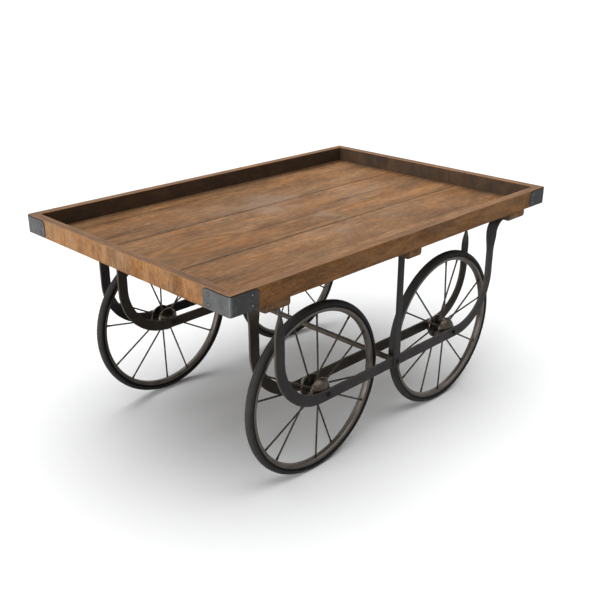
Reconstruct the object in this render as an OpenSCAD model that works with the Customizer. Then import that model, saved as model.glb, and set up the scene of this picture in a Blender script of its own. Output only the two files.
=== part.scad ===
// Flat-bed hand cart: a shallow timber tray on four spoked wheels, carried by flat iron straps.
// X runs along the tray, Y across it and Z up. The origin lies on the ground below the tray's middle.

/* [Tray] */
// Length over the end rails
tray_l = 1870; // [1500:2:2300]
// Width over the side rails
tray_w = 1256; // [1040:2:1500]
// Height of the rails
rail_h = 76; // [56:1:100]
// Thickness of the rails
rail_t = 37; // [28:1:46]
// Radius of the outer upright corners of the rails
corner_r = 10; // [3:1:14]
// Thickness of the floor boards
board_t = 22; // [17:1:30]
// Depth that the boards are let into the bearers
board_let_in = 14; // [4:1:20]
// Width of the right floor board
right_board_w = 405; // [320:1:480]
// Width of the middle floor board
middle_board_w = 392; // [320:1:460]
// Gap at the seams and round the edge of the floor
board_gap = 1.5; // [0.5:0.5:3]

/* [Bearers] */
// Depth of the bearers
bearer_h = 34; // [30:1:48]
// Width of the front and rear bearers
end_bearer_w = 106; // [90:1:130]
// Width of the middle bearer
middle_bearer_w = 70; // [66:1:90]
// Distance from a strap's leg out to the middle of an end bearer
bearer_out = 74; // [63:1:107]
// Distance of the bearer ends inside the side rails' faces
bearer_inset = 0; // [0:0.5:8]
// Radius of the lower edge at the bearer ends
bearer_end_r = 18; // [6:1:20]

/* [Corner brackets] */
// Length of a bracket's wing on a side rail
side_wing = 122; // [100:1:160]
// Length of a bracket's wing on an end rail
end_wing = 134; // [100:1:160]
// Thickness of the bracket's sheet
bracket_t = 3; // [1.5:0.5:4]
// Margin above and below the bracket on the rail
bracket_margin = 2; // [1:0.5:8]
// Radius of the corners at a wing's free end
bracket_r = 17; // [8:1:22]
// Distance of the rivets from the wing's free end
rivet_from_end = 30; // [14:1:40]
// Distance of a wing's rivets below the rail's middle
rivet_drop = 2; // [0:1:6]
// Upright distance between the two rivets of a wing
rivet_pitch = 36; // [24:1:40]
// Diameter of a rivet's shank
rivet_d = 5; // [4:0.5:7]
// Diameter of a rivet's head
rivet_head_d = 10; // [8:0.5:14]
// Length of a rivet's shank
rivet_l = 26; // [16:1:27]

/* [Wheels] */
// Outer diameter of the tyre
wheel_d = 710; // [600:5:850]
// Width of the tyre
tyre_w = 34; // [28:1:42]
// Width of the rim
rim_w = 29; // [26:1:31]
// Radius of the rim's round bottom
rim_r = 20.5; // [18:0.5:28]
// Wall of the rim
rim_wall = 1.5; // [1:0.25:2.5]
// Depth of the rim from its crown to its lips
rim_depth = 18; // [16:0.5:24]
// Distance from the tyre's tread to the rim's lips
tyre_stand = 27; // [24:0.5:32]
// Gap between the front and rear tyres
wheel_gap = 100; // [50:5:150]
// Distance between the middles of the left and right wheels
track = 966; // [800:2:990]
// Pairs of spokes in a wheel
spoke_pairs = 6; // [4:1:9]
// Angle between the two spokes of a pair
pair_angle = 20; // [12:1:30]
// Diameter of a spoke
spoke_d = 7.5; // [5:0.5:8]
// Distance of a spoke from the wheel's middle plane, at the hub
spoke_hub_y = 19; // [14:0.5:19.5]
// Diameter of a nipple
nipple_d = 9.5; // [9:0.5:10.5]
// Length of a nipple below the rim
nipple_l = 13; // [8:1:20]

/* [Hubs and axles] */
// Diameter of the hub's flanges
flange_d = 104; // [84:1:124]
// Thickness of a flange
flange_t = 5; // [3:0.5:8]
// Distance between the inner faces of the flanges
flange_gap = 45; // [45:0.5:54]
// Diameter of the barrel between the flanges
barrel_d = 50; // [46:1:64]
// Diameter of the cone's narrow end
cone_end_d = 38; // [34:1:46]
// Length of the hub
hub_l = 116; // [100:1:117]
// Diameter of the axle
axle_d = 20; // [16:1:22]
// Diameter of the axle's and tie rod's threaded ends
thread_d = 12; // [10:1:14]
// Wall of a bush
bush_wall = 4; // [2.5:0.5:5]
// Length of a bush
bush_l = 38; // [20:1:46]
// Thickness of a thrust washer
washer_t = 3; // [2:0.5:4]
// End play between a hub and its thrust washers
end_play = 0.5; // [0.3:0.1:1.5]
// Distance across the flats of a nut
nut_af = 18; // [17:1:24]
// Height of a nut
nut_h = 9; // [6:0.5:13]
// Length of thread that shows past a nut
thread_tail = 3; // [1:0.5:6]

/* [Straps] */
// Width of the flat iron
strap_w = 45; // [36:1:54]
// Thickness of the flat iron
strap_t = 10; // [6:0.5:12]
// Distance of the straps' middle below the axles
strap_drop = 3.5; // [0:0.5:6]
// Height of the bearers' underside above the axles
frame_rise = 465; // [440:5:560]
// Distance from an axle out to the middle of the upright leg
leg_out = 248; // [236:1:270]
// Radius of the big bends, at the middle of the flat
bend_r = 220; // [160:1:235]
// Height above the bend where the quarter twist starts
twist_start = 92; // [60:1:100]
// Radius of the bend into the foot, at the middle of the flat
foot_r = 60; // [40:1:65]
// Length of the flat foot
foot_l = 50; // [40:1:54]
// Rings along the twist
twist_steps = 28; // [12:1:48]

/* [Posts and tie rod] */
// Width of the centre posts
post_w = 32; // [26:1:38]
// Length of the flange under the middle bearer
post_flange_l = 62; // [40:1:80]
// Diameter of the tie rod
tie_rod_d = 24; // [18:1:30]

/* [Screws] */
// Shank diameter of the wood screws
screw_d = 6; // [4:0.5:6]
// Head diameter of the wood screws
screw_head_d = 12; // [9:0.5:12]
// Head height of the wood screws
screw_head_h = 4; // [2.5:0.5:6]
// Distance of the floor screws from a bearer's outer edge
screw_edge = 8; // [7:0.5:8]
// Depth that a floor screw enters its board
screw_in_board = 15; // [10:1:16]
// Depth that a rail screw enters its rail
screw_in_rail = 42; // [25:1:50]
// Shank diameter of the coach screws
coach_d = 10; // [8:0.5:12]
// Distance across the flats of a coach screw's head
coach_af = 17; // [15:1:20]
// Head height of a coach screw
coach_head_h = 7; // [5:0.5:9]

/* [Fits] */
// Radial clearance of a shank or sleeve in its hole
fit = 0.05; // [0.03:0.01:0.1]
// Radial clearance of the tie rod where it passes the inner straps
pass_fit = 0.1; // [0.05:0.01:0.1]

/* [Hidden] */
$fn = 96;

// Sense of each end and side along X and Y
FRONT = -1;
REAR = 1;
RIGHT = -1;
LEFT = 1;
ENDS = [FRONT, REAR];
SIDES = [RIGHT, LEFT];

// Colours
wood = "sienna";
dark_wood = "saddlebrown";
plate = "dimgray";
iron = "#3a3834";
rubber = "#2c2d2e";
rim_metal = "#5a5350";
hub_metal = "#4a453e";
bright = "silver";
bronze = "darkgoldenrod";

// A cut reaches this far past the faces that it goes through
past = 1;
// Thickness left over a blind hole
skin = 2;
// Flat land at the edge of a hub's flange, and the thrust washer's inset from the hub's end
land = 1;
// Distance from the spokes' ends to the tyre's bead
spoke_end_gap = 5;
// Room between a nipple and the rim's side wall
nipple_margin = 0.5;

// Places along the cart
wheelbase = wheel_d + wheel_gap;
leg_x = wheelbase / 2 + leg_out;
end_bearer_x = leg_x + bearer_out;

// Heights from the ground up
axle_z = wheel_d / 2;
bearer_z = axle_z + frame_rise;
rail_z = bearer_z + bearer_h;
board_z = rail_z - board_let_in;

// Tray
bay_l = tray_l - 2 * rail_t;
bay_w = tray_w - 2 * rail_t;
board_l = bay_l - 2 * board_gap;
right_seam_y = -bay_w / 2 + board_gap + right_board_w;
left_seam_y = right_seam_y + board_gap + middle_board_w;
left_board_w = bay_w / 2 - board_gap - (left_seam_y + board_gap);
bearer_l = tray_w - 2 * bearer_inset;
bracket_h = rail_h - 2 * bracket_margin;
side_rivet_in = side_wing - rivet_from_end;
end_rivet_in = end_wing - rivet_from_end;
rivet_z = rail_z + rail_h / 2 - rivet_drop;

// Wheel, around its own axis
wheel_r = wheel_d / 2;
lip_r = wheel_r - tyre_stand;
crown_r = lip_r - rim_depth;
bead_r = lip_r - rim_depth / 4;
spoke_rim_y = rim_w / 2 - rim_wall - nipple_d / 2 - nipple_margin;
spoke_tilt = atan((spoke_hub_y - spoke_rim_y) / crown_r);
socket_depth = barrel_d / 2 - axle_d / 2 - bush_wall - fit - skin;
spoke_in_r = barrel_d / 2 - socket_depth;
spoke_out_r = bead_r - spoke_end_gap;
bush_d = axle_d + 2 * bush_wall;

// Straps
axle_half = hub_l / 2 + end_play + washer_t;
strap_off = axle_half + strap_t / 2;
outer_strap_y = track / 2 + strap_off;
inner_strap_y = track / 2 - strap_off;
bend_x = leg_x - bend_r;
strap_z = axle_z - strap_drop;
bend_z = strap_z + bend_r;
twist_z = bend_z + twist_start;
foot_z = bearer_z - strap_t / 2;
foot_bend_z = foot_z - foot_r;
twist_rise = foot_bend_z - twist_z;
twist_path = twist_rise + foot_r * PI / 2;
foot_x = leg_x + foot_r;
foot_screw_x = foot_x + foot_l / 2;
thread_out = axle_half + strap_t + nut_h + thread_tail;

// Centre post, on the outer strap's outer face
post_in_y = outer_strap_y + strap_t / 2;
post_out_y = post_in_y + strap_t;
post_screw_y = post_in_y - post_flange_l / 2;
tie_half = outer_strap_y - strap_t / 2;
tie_thread_out = post_out_y + nut_h + thread_tail;

// Screws
screw_top_z = board_z + screw_in_board;
rail_screw_y = bay_w / 2 + rail_t / 4;
coach_top_z = board_z - skin;
rail_screw_dx = middle_bearer_w / 4;

// Copies the (+X, +Y) quarter to another quarter by mirroring
module quarter(end, side) {
    mirror([1 - end, 0, 0])
        mirror([0, 1 - side, 0])
            children();
}

// Puts a wheel's own axis, built along Z, on the axle of the (+X, +Y) quarter
module on_axle() {
    translate([wheelbase / 2, track / 2, axle_z])
        rotate([-90, 0, 0])
            children();
}

// Rod or hole from z = low up to z = high
module bar(d, low, high) {
    translate([0, 0, low])
        cylinder(d = d, h = high - low);
}

// Plan outline of the tray, grown outwards
module outline(grow) {
    r = corner_r + grow;
    l = tray_l + 2 * grow;
    w = tray_w + 2 * grow;
    square([l - 2 * r, w], center = true);
    square([l, w - 2 * r], center = true);
    for (end = ENDS, side = SIDES)
        translate([end * (l / 2 - r), side * (w / 2 - r)])
            circle(r);
}

// Places children at the rivets on a side rail's face, with +Z pointing out of the rail
module at_side_rivets(side) {
    for (end = ENDS, up = [-1, 1])
        translate([end * (tray_l / 2 - side_rivet_in), side * tray_w / 2, rivet_z + up * rivet_pitch / 2])
            rotate([-90 * side, 0, 0])
                children();
}

// Places children at the rivets on an end rail's face, with +Z pointing out of the rail
module at_end_rivets(end) {
    for (side = SIDES, up = [-1, 1])
        translate([end * tray_l / 2, side * (tray_w / 2 - end_rivet_in), rivet_z + up * rivet_pitch / 2])
            rotate([0, 90 * end, 0])
                children();
}

module rivet_hole() {
    bar(rivet_d + 2 * fit, -rivet_l - fit, bracket_t + past);
}

module rivet() {
    head_h = rivet_head_d / 4;
    ball_r = (pow(rivet_head_d / 2, 2) + pow(head_h, 2)) / (2 * head_h);
    bar(rivet_d, -rivet_l, bracket_t + head_h / 2);
    translate([0, 0, bracket_t])
        intersection() {
            translate([0, 0, head_h - ball_r])
                sphere(ball_r);
            cylinder(d = rivet_head_d + past, h = head_h + past);
        }
}

// Middle of each board and its width, from the right side to the left
boards = [
    [-bay_w / 2 + board_gap + right_board_w / 2, right_board_w],
    [right_seam_y + board_gap + middle_board_w / 2, middle_board_w],
    [left_seam_y + board_gap + left_board_w / 2, left_board_w]
];

// X of the floor screws, one row in each bearer
floor_screw_rows = [
    -end_bearer_x - end_bearer_w / 2 + screw_edge,
    middle_bearer_w / 2 - screw_edge,
    end_bearer_x + end_bearer_w / 2 - screw_edge
];

module at_floor_screws(row, board) {
    for (turn = [-1, 1])
        translate([row, board[0] + turn * board[1] / 4, bearer_z])
            children();
}

module at_rail_screws(x, side) {
    for (turn = [-1, 1])
        translate([x + turn * rail_screw_dx, side * rail_screw_y, bearer_z])
            children();
}

module at_foot_screws(end) {
    for (y = [-outer_strap_y, -inner_strap_y, inner_strap_y, outer_strap_y])
        translate([end * foot_screw_x, y, bearer_z - strap_t])
            children();
}

module at_post_screws() {
    for (side = SIDES)
        translate([0, side * post_screw_y, bearer_z - strap_t])
            children();
}

module wood_screw(top_z) {
    bar(screw_d, 0, top_z - bearer_z);
    bar(screw_head_d, -screw_head_h, 0);
}

module wood_screw_hole(top_z) {
    bar(screw_d + 2 * fit, -past, top_z - bearer_z + fit);
}

module coach_screw() {
    bar(coach_d, 0, coach_top_z - bearer_z + strap_t);
    translate([0, 0, -coach_head_h])
        cylinder(d = coach_af / cos(30), h = coach_head_h, $fn = 6);
}

module coach_hole() {
    bar(coach_d + 2 * fit, -past, coach_top_z - bearer_z + strap_t + fit);
}

module floor_board(index) {
    board = boards[index];
    color(wood)
        difference() {
            translate([-board_l / 2, board[0] - board[1] / 2, board_z])
                cube([board_l, board[1], board_t]);
            for (row = floor_screw_rows)
                at_floor_screws(row, board)
                    wood_screw_hole(screw_top_z);
        }
}

module side_rail(side) {
    color(wood)
        difference() {
            translate([0, 0, rail_z])
                linear_extrude(rail_h)
                    intersection() {
                        outline(0);
                        translate([0, side * (tray_w + bay_w) / 4])
                            square([tray_l, rail_t], center = true);
                    }
            at_side_rivets(side)
                rivet_hole();
            for (x = [-end_bearer_x, 0, end_bearer_x])
                at_rail_screws(x, side)
                    wood_screw_hole(rail_z + screw_in_rail);
        }
}

module end_rail(end) {
    color(wood)
        difference() {
            translate([0, 0, rail_z])
                linear_extrude(rail_h)
                    intersection() {
                        outline(0);
                        translate([end * (tray_l + bay_l) / 4, 0])
                            square([rail_t, bay_w], center = true);
                    }
            at_end_rivets(end)
                rivet_hole();
        }
}

// Bearer seen along X: full depth under the side rails, let in for the boards between them
module bearer_profile() {
    half = bearer_l / 2;
    r = bearer_end_r;
    difference() {
        intersection() {
            translate([-half, 0])
                square([bearer_l, bearer_h]);
            union() {
                translate([-half, r])
                    square([bearer_l, bearer_h]);
                translate([r - half, 0])
                    square([bearer_l - 2 * r, bearer_h]);
                for (side = SIDES)
                    translate([side * (half - r), r])
                        circle(r);
            }
        }
        translate([-bay_w / 2, bearer_h - board_let_in])
            square([bay_w, board_let_in + past]);
    }
}

module bearer(x, w, row) {
    color(dark_wood)
        difference() {
            translate([x - w / 2, 0, bearer_z])
                rotate([90, 0, 90])
                    linear_extrude(w)
                        bearer_profile();
            for (board = boards)
                at_floor_screws(floor_screw_rows[row], board)
                    wood_screw_hole(screw_top_z);
            for (side = SIDES)
                at_rail_screws(x, side)
                    wood_screw_hole(rail_z + screw_in_rail);
            if (x == 0)
                at_post_screws()
                    coach_hole();
            else
                at_foot_screws(sign(x))
                    coach_hole();
        }
}

// Face of a bracket's wing, from the corner to its rounded free end
module wing_face(length) {
    straight = length - bracket_r;
    square([straight, bracket_h]);
    translate([0, bracket_r])
        square([length, bracket_h - 2 * bracket_r]);
    for (y = [bracket_r, bracket_h - bracket_r])
        translate([straight, y])
            circle(bracket_r);
}

module corner_bracket(end, side) {
    reach = 2 * bracket_t + corner_r;
    color(plate)
        difference() {
            quarter(end, side)
                intersection() {
                    translate([0, 0, rail_z])
                        linear_extrude(rail_h)
                            difference() {
                                outline(bracket_t);
                                outline(fit);
                            }
                    union() {
                        translate([tray_l / 2 + bracket_t, tray_w / 2 - corner_r, rail_z + bracket_margin])
                            rotate([90, 0, 180])
                                linear_extrude(reach)
                                    wing_face(side_wing);
                        translate([tray_l / 2 - corner_r, tray_w / 2 + bracket_t, rail_z + bracket_margin])
                            rotate([90, 0, -90])
                                mirror([0, 0, 1])
                                    linear_extrude(reach)
                                        wing_face(end_wing);
                    }
                }
            at_side_rivets(side)
                rivet_hole();
            at_end_rivets(end)
                rivet_hole();
        }
}

module bracket_rivets() {
    color(bright) {
        for (side = SIDES)
            at_side_rivets(side)
                rivet();
        for (end = ENDS)
            at_end_rivets(end)
                rivet();
    }
}

module floor_screws() {
    color(bright)
        for (row = floor_screw_rows, board = boards)
            at_floor_screws(row, board)
                wood_screw(screw_top_z);
}

module rail_screws() {
    color(bright)
        for (x = [-end_bearer_x, 0, end_bearer_x], side = SIDES)
            at_rail_screws(x, side)
                wood_screw(rail_z + screw_in_rail);
}

module strap_foot_screws() {
    color(bright)
        for (end = ENDS)
            at_foot_screws(end)
                coach_screw();
}

module post_screws() {
    color(bright)
        at_post_screws()
            coach_screw();
}

// Quarter twist along a strap's leg: the path climbs straight, then bends outwards to the foot
function ease(t) = t * t * (3 - 2 * t);
function lean(s) = max(0, s - twist_rise) / foot_r * 180 / PI;
function path_x(s) = leg_x + foot_r * (1 - cos(lean(s)));
function path_z(s) = twist_z + min(s, twist_rise) + foot_r * sin(lean(s));

// Corner of the flat at distance s, with a and b the senses across its width and thickness
function twist_corner(s, sense, a, b) =
    let (
        turn = sense * 90 * ease(s / twist_path),
        across = a * strap_w / 2 * cos(turn) - b * strap_t / 2 * sin(turn),
        sideways = a * strap_w / 2 * sin(turn) + b * strap_t / 2 * cos(turn)
    )
    [path_x(s) + across * cos(lean(s)), sideways, path_z(s) - across * sin(lean(s))];

module twisted_leg(sense) {
    ring = [[-1, -1], [1, -1], [1, 1], [-1, 1]];
    last = 4 * twist_steps;
    polyhedron(
        points = [
            for (i = [0 : twist_steps], c = ring)
                twist_corner(i * twist_path / twist_steps, sense, c[0], c[1])
        ],
        faces = [
            [0, 1, 2], [0, 2, 3],
            [last + 2, last + 1, last], [last + 3, last + 2, last],
            for (i = [0 : twist_steps - 1], k = [0 : 3])
                each [
                    [4 * i + k, 4 * i + 4 + k, 4 * i + (k + 1) % 4],
                    [4 * i + (k + 1) % 4, 4 * i + 4 + k, 4 * i + 4 + (k + 1) % 4]
                ]
        ]
    );
}

// Face of the strap below the twists, seen along Y, with its height from the straight run
module strap_face() {
    half = strap_w / 2;
    translate([-bend_x, -half])
        square([2 * bend_x, strap_w]);
    for (end = ENDS)
        mirror([1 - end, 0]) {
            translate([leg_x - half, bend_r])
                square([strap_w, twist_start]);
            intersection() {
                translate([bend_x, bend_r])
                    difference() {
                        circle(bend_r + half, $fn = 180);
                        circle(bend_r - half, $fn = 180);
                    }
                translate([bend_x, -half])
                    square([bend_r + half, bend_r + half]);
            }
        }
}

// Strap in its own plane; sense is the way that the rear leg twists
module strap(y, sense, tie_hole_d) {
    color(iron)
        translate([0, y, 0])
            difference() {
                union() {
                    translate([0, strap_t / 2, strap_z])
                        rotate([90, 0, 0])
                            linear_extrude(strap_t)
                                strap_face();
                    for (end = ENDS)
                        mirror([1 - end, 0, 0]) {
                            twisted_leg(sense);
                            translate([foot_x, -strap_w / 2, foot_z - strap_t / 2])
                                cube([foot_l, strap_w, strap_t]);
                        }
                }
                for (x = [-wheelbase / 2, wheelbase / 2])
                    translate([x, 0, axle_z])
                        rotate([90, 0, 0])
                            cylinder(d = thread_d + 2 * fit, h = strap_t + 2 * past, center = true);
                translate([0, 0, axle_z])
                    rotate([90, 0, 0])
                        cylinder(d = tie_hole_d, h = strap_t + 2 * past, center = true);
                for (end = ENDS)
                    translate([end * foot_screw_x, 0, bearer_z - strap_t])
                        coach_hole();
            }
}

module outer_strap(side) {
    strap(side * outer_strap_y, side, thread_d + 2 * fit);
}

module inner_strap(side) {
    strap(side * inner_strap_y, -side, tie_rod_d + 2 * pass_fit);
}

// Post seen along X: upright outside the strap, with a flange under the bearer
module post_profile() {
    translate([post_in_y, strap_z - strap_w / 2])
        square([strap_t, bearer_z - strap_z + strap_w / 2]);
    translate([post_in_y - post_flange_l, bearer_z - strap_t])
        square([post_flange_l + strap_t, strap_t]);
}

module centre_post(side) {
    color(iron)
        difference() {
            quarter(REAR, side)
                translate([-post_w / 2, 0, 0])
                    rotate([90, 0, 90])
                        linear_extrude(post_w)
                            post_profile();
            translate([0, side * (post_in_y + post_out_y) / 2, axle_z])
                rotate([90, 0, 0])
                    cylinder(d = thread_d + 2 * fit, h = strap_t + 2 * past, center = true);
            at_post_screws()
                coach_hole();
        }
}

module tie_rod() {
    color(iron)
        translate([0, 0, axle_z])
            rotate([90, 0, 0]) {
                cylinder(d = tie_rod_d, h = 2 * tie_half, center = true);
                cylinder(d = thread_d, h = 2 * tie_thread_out, center = true);
            }
}

module nut() {
    difference() {
        cylinder(d = nut_af / cos(30), h = nut_h, $fn = 6);
        bar(thread_d + 2 * fit, -past, nut_h + past);
    }
}

module tie_rod_nuts() {
    color(bright)
        for (side = SIDES)
            translate([0, side * post_out_y, axle_z])
                rotate([-90 * side, 0, 0])
                    nut();
}

module axle(end, side) {
    color(bright)
        quarter(end, side)
            on_axle() {
                bar(axle_d, -axle_half, axle_half);
                bar(thread_d, -thread_out, thread_out);
            }
}

module axle_washers() {
    color(bright)
        for (end = ENDS, side = SIDES)
            quarter(end, side)
                on_axle()
                    for (turn = [-1, 1])
                        translate([0, 0, turn * (axle_half - washer_t / 2)])
                            difference() {
                                cylinder(d = cone_end_d - 2 * land, h = washer_t, center = true);
                                cylinder(d = axle_d + 2 * fit, h = washer_t + past, center = true);
                            }
}

module axle_nuts() {
    color(bright)
        for (end = ENDS, side = SIDES)
            quarter(end, side)
                on_axle()
                    for (turn = [0, 1])
                        mirror([0, 0, turn])
                            translate([0, 0, axle_half + strap_t])
                                nut();
}

// Tyre: a round section whose bead sits between the rim's lips
module tyre(end, side) {
    bead_w = rim_w - 2 * rim_wall - 2 * fit;
    color(rubber)
        quarter(end, side)
            on_axle()
                rotate_extrude($fn = 180)
                    difference() {
                        translate([wheel_r - tyre_w / 2, 0])
                            circle(d = tyre_w);
                        translate([0, -tyre_w / 2])
                            square([bead_r, tyre_w]);
                        for (turn = [0, 1])
                            mirror([0, turn])
                                translate([0, bead_w / 2])
                                    square([lip_r + fit, tyre_w]);
                    }
}

// Section of the rim's trough: a round bottom towards the hub, and two upright sides
module trough(inset, top_r) {
    half = rim_w / 2 - inset;
    intersection() {
        translate([crown_r + rim_r, 0])
            circle(rim_r - inset);
        translate([0, -half])
            square([top_r, 2 * half]);
    }
}

// Places children on each spoke, with +Z pointing along it from the wheel's axis
module on_spokes() {
    for (pair = [0 : spoke_pairs - 1], side = [-1, 1]) {
        angle = 360 / spoke_pairs * (pair + 0.5) - (side < 0 ? pair_angle : 0);
        rotate([0, 0, -angle])
            translate([0, 0, side * spoke_hub_y])
                rotate([0, 90 + side * spoke_tilt, 0])
                    children();
    }
}

module rim(end, side) {
    color(rim_metal)
        quarter(end, side)
            on_axle()
                difference() {
                    rotate_extrude($fn = 180)
                        difference() {
                            trough(0, lip_r);
                            trough(rim_wall, lip_r + past);
                        }
                    on_spokes()
                        bar(nipple_d + 2 * fit, crown_r - nipple_l, spoke_out_r + past);
                }
}

module spokes(end, side) {
    color(iron)
        quarter(end, side)
            on_axle()
                on_spokes()
                    bar(spoke_d, spoke_in_r + fit, spoke_out_r);
}

module nipples(end, side) {
    color(bright)
        quarter(end, side)
            on_axle()
                on_spokes()
                    difference() {
                        bar(nipple_d, crown_r - nipple_l, spoke_out_r - fit);
                        bar(spoke_d + 2 * fit, crown_r - nipple_l - past, spoke_out_r + past);
                    }
}

// Hub: a barrel with two flanges, and a cone from each flange to the hub's end
module hub(end, side) {
    half = hub_l / 2;
    face = flange_gap / 2;
    bore_r = bush_d / 2 + fit;
    color(hub_metal)
        quarter(end, side)
            on_axle()
                difference() {
                    rotate_extrude()
                        polygon([
                            [bore_r, -half],
                            [cone_end_d / 2, -half],
                            [flange_d / 2 - land, -face - flange_t],
                            [flange_d / 2, -face - flange_t],
                            [flange_d / 2, -face],
                            [barrel_d / 2, -face],
                            [barrel_d / 2, face],
                            [flange_d / 2, face],
                            [flange_d / 2, face + flange_t],
                            [flange_d / 2 - land, face + flange_t],
                            [cone_end_d / 2, half],
                            [bore_r, half]
                        ]);
                    on_spokes()
                        bar(spoke_d + 2 * fit, spoke_in_r, barrel_d / 2 + past);
                }
}

module bushes(end, side) {
    color(bronze)
        quarter(end, side)
            on_axle()
                for (turn = [0, 1])
                    mirror([0, 0, turn])
                        difference() {
                            bar(bush_d, hub_l / 2 - bush_l, hub_l / 2);
                            bar(axle_d + 2 * fit, hub_l / 2 - bush_l - past, hub_l / 2 + past);
                        }
}

floor_board(2);  // floor_board_left
floor_board(1);  // floor_board_middle
floor_board(0);  // floor_board_right
side_rail(LEFT);  // side_rail_left
side_rail(RIGHT);  // side_rail_right
end_rail(FRONT);  // end_rail_front
end_rail(REAR);  // end_rail_rear
bearer(-end_bearer_x, end_bearer_w, 0);  // bearer_front
bearer(0, middle_bearer_w, 1);  // bearer_middle
bearer(end_bearer_x, end_bearer_w, 2);  // bearer_rear
corner_bracket(FRONT, LEFT);  // corner_bracket_front_left
corner_bracket(FRONT, RIGHT);  // corner_bracket_front_right
corner_bracket(REAR, LEFT);  // corner_bracket_rear_left
corner_bracket(REAR, RIGHT);  // corner_bracket_rear_right
bracket_rivets();
floor_screws();
rail_screws();
outer_strap(LEFT);  // outer_strap_left
outer_strap(RIGHT);  // outer_strap_right
inner_strap(LEFT);  // inner_strap_left
inner_strap(RIGHT);  // inner_strap_right
strap_foot_screws();
centre_post(LEFT);  // centre_post_left
centre_post(RIGHT);  // centre_post_right
post_screws();
tie_rod();
tie_rod_nuts();
axle(FRONT, LEFT);  // axle_front_left
axle(FRONT, RIGHT);  // axle_front_right
axle(REAR, LEFT);  // axle_rear_left
axle(REAR, RIGHT);  // axle_rear_right
axle_washers();
axle_nuts();
tyre(FRONT, LEFT);  // tyre_front_left
tyre(FRONT, RIGHT);  // tyre_front_right
tyre(REAR, LEFT);  // tyre_rear_left
tyre(REAR, RIGHT);  // tyre_rear_right
rim(FRONT, LEFT);  // rim_front_left
rim(FRONT, RIGHT);  // rim_front_right
rim(REAR, LEFT);  // rim_rear_left
rim(REAR, RIGHT);  // rim_rear_right
spokes(FRONT, LEFT);  // spokes_front_left
spokes(FRONT, RIGHT);  // spokes_front_right
spokes(REAR, LEFT);  // spokes_rear_left
spokes(REAR, RIGHT);  // spokes_rear_right
nipples(FRONT, LEFT);  // nipples_front_left
nipples(FRONT, RIGHT);  // nipples_front_right
nipples(REAR, LEFT);  // nipples_rear_left
nipples(REAR, RIGHT);  // nipples_rear_right
hub(FRONT, LEFT);  // hub_front_left
hub(FRONT, RIGHT);  // hub_front_right
hub(REAR, LEFT);  // hub_rear_left
hub(REAR, RIGHT);  // hub_rear_right
bushes(FRONT, LEFT);  // bushes_front_left
bushes(FRONT, RIGHT);  // bushes_front_right
bushes(REAR, LEFT);  // bushes_rear_left
bushes(REAR, RIGHT);  // bushes_rear_right
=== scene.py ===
import math

import bmesh
import bpy
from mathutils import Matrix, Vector, noise


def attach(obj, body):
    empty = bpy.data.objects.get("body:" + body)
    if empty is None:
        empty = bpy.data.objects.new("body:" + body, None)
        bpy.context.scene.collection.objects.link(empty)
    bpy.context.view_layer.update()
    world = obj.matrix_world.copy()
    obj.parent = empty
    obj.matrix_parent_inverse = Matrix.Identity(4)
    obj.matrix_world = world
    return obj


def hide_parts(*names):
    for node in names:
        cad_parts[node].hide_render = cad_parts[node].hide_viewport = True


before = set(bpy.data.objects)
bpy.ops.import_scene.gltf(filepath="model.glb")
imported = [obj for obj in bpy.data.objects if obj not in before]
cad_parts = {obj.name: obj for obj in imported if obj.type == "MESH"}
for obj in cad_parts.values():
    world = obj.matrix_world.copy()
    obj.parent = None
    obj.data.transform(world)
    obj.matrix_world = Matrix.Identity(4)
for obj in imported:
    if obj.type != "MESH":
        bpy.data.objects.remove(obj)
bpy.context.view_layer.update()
scene = bpy.context.scene

halfTurn = math.pi
quarterTurn = math.pi / 2


# an output socket that can be used in sums
class Wire:
    def __init__(self, bench, socket):
        self.bench = bench
        self.socket = socket

    def also(self, name):
        return Wire(self.bench, self.socket.node.outputs[name])

    def calc(self, operation, *others):
        return self.bench.sum(operation, self, *others)

    def __add__(self, other):
        return self.calc("ADD", other)

    def __radd__(self, other):
        return self.calc("ADD", other)

    def __sub__(self, other):
        return self.calc("SUBTRACT", other)

    def __rsub__(self, other):
        return self.bench.sum("SUBTRACT", other, self)

    def __mul__(self, other):
        return self.calc("MULTIPLY", other)

    def __rmul__(self, other):
        return self.calc("MULTIPLY", other)

    def __truediv__(self, other):
        return self.calc("DIVIDE", other)

    def __rtruediv__(self, other):
        return self.bench.sum("DIVIDE", other, self)

    def __neg__(self):
        return self.calc("MULTIPLY", -1.0)

    def __abs__(self):
        return self.calc("ABSOLUTE")

    def between(self, low, high):
        return self.calc("MAXIMUM", low).calc("MINIMUM", high)


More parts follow.
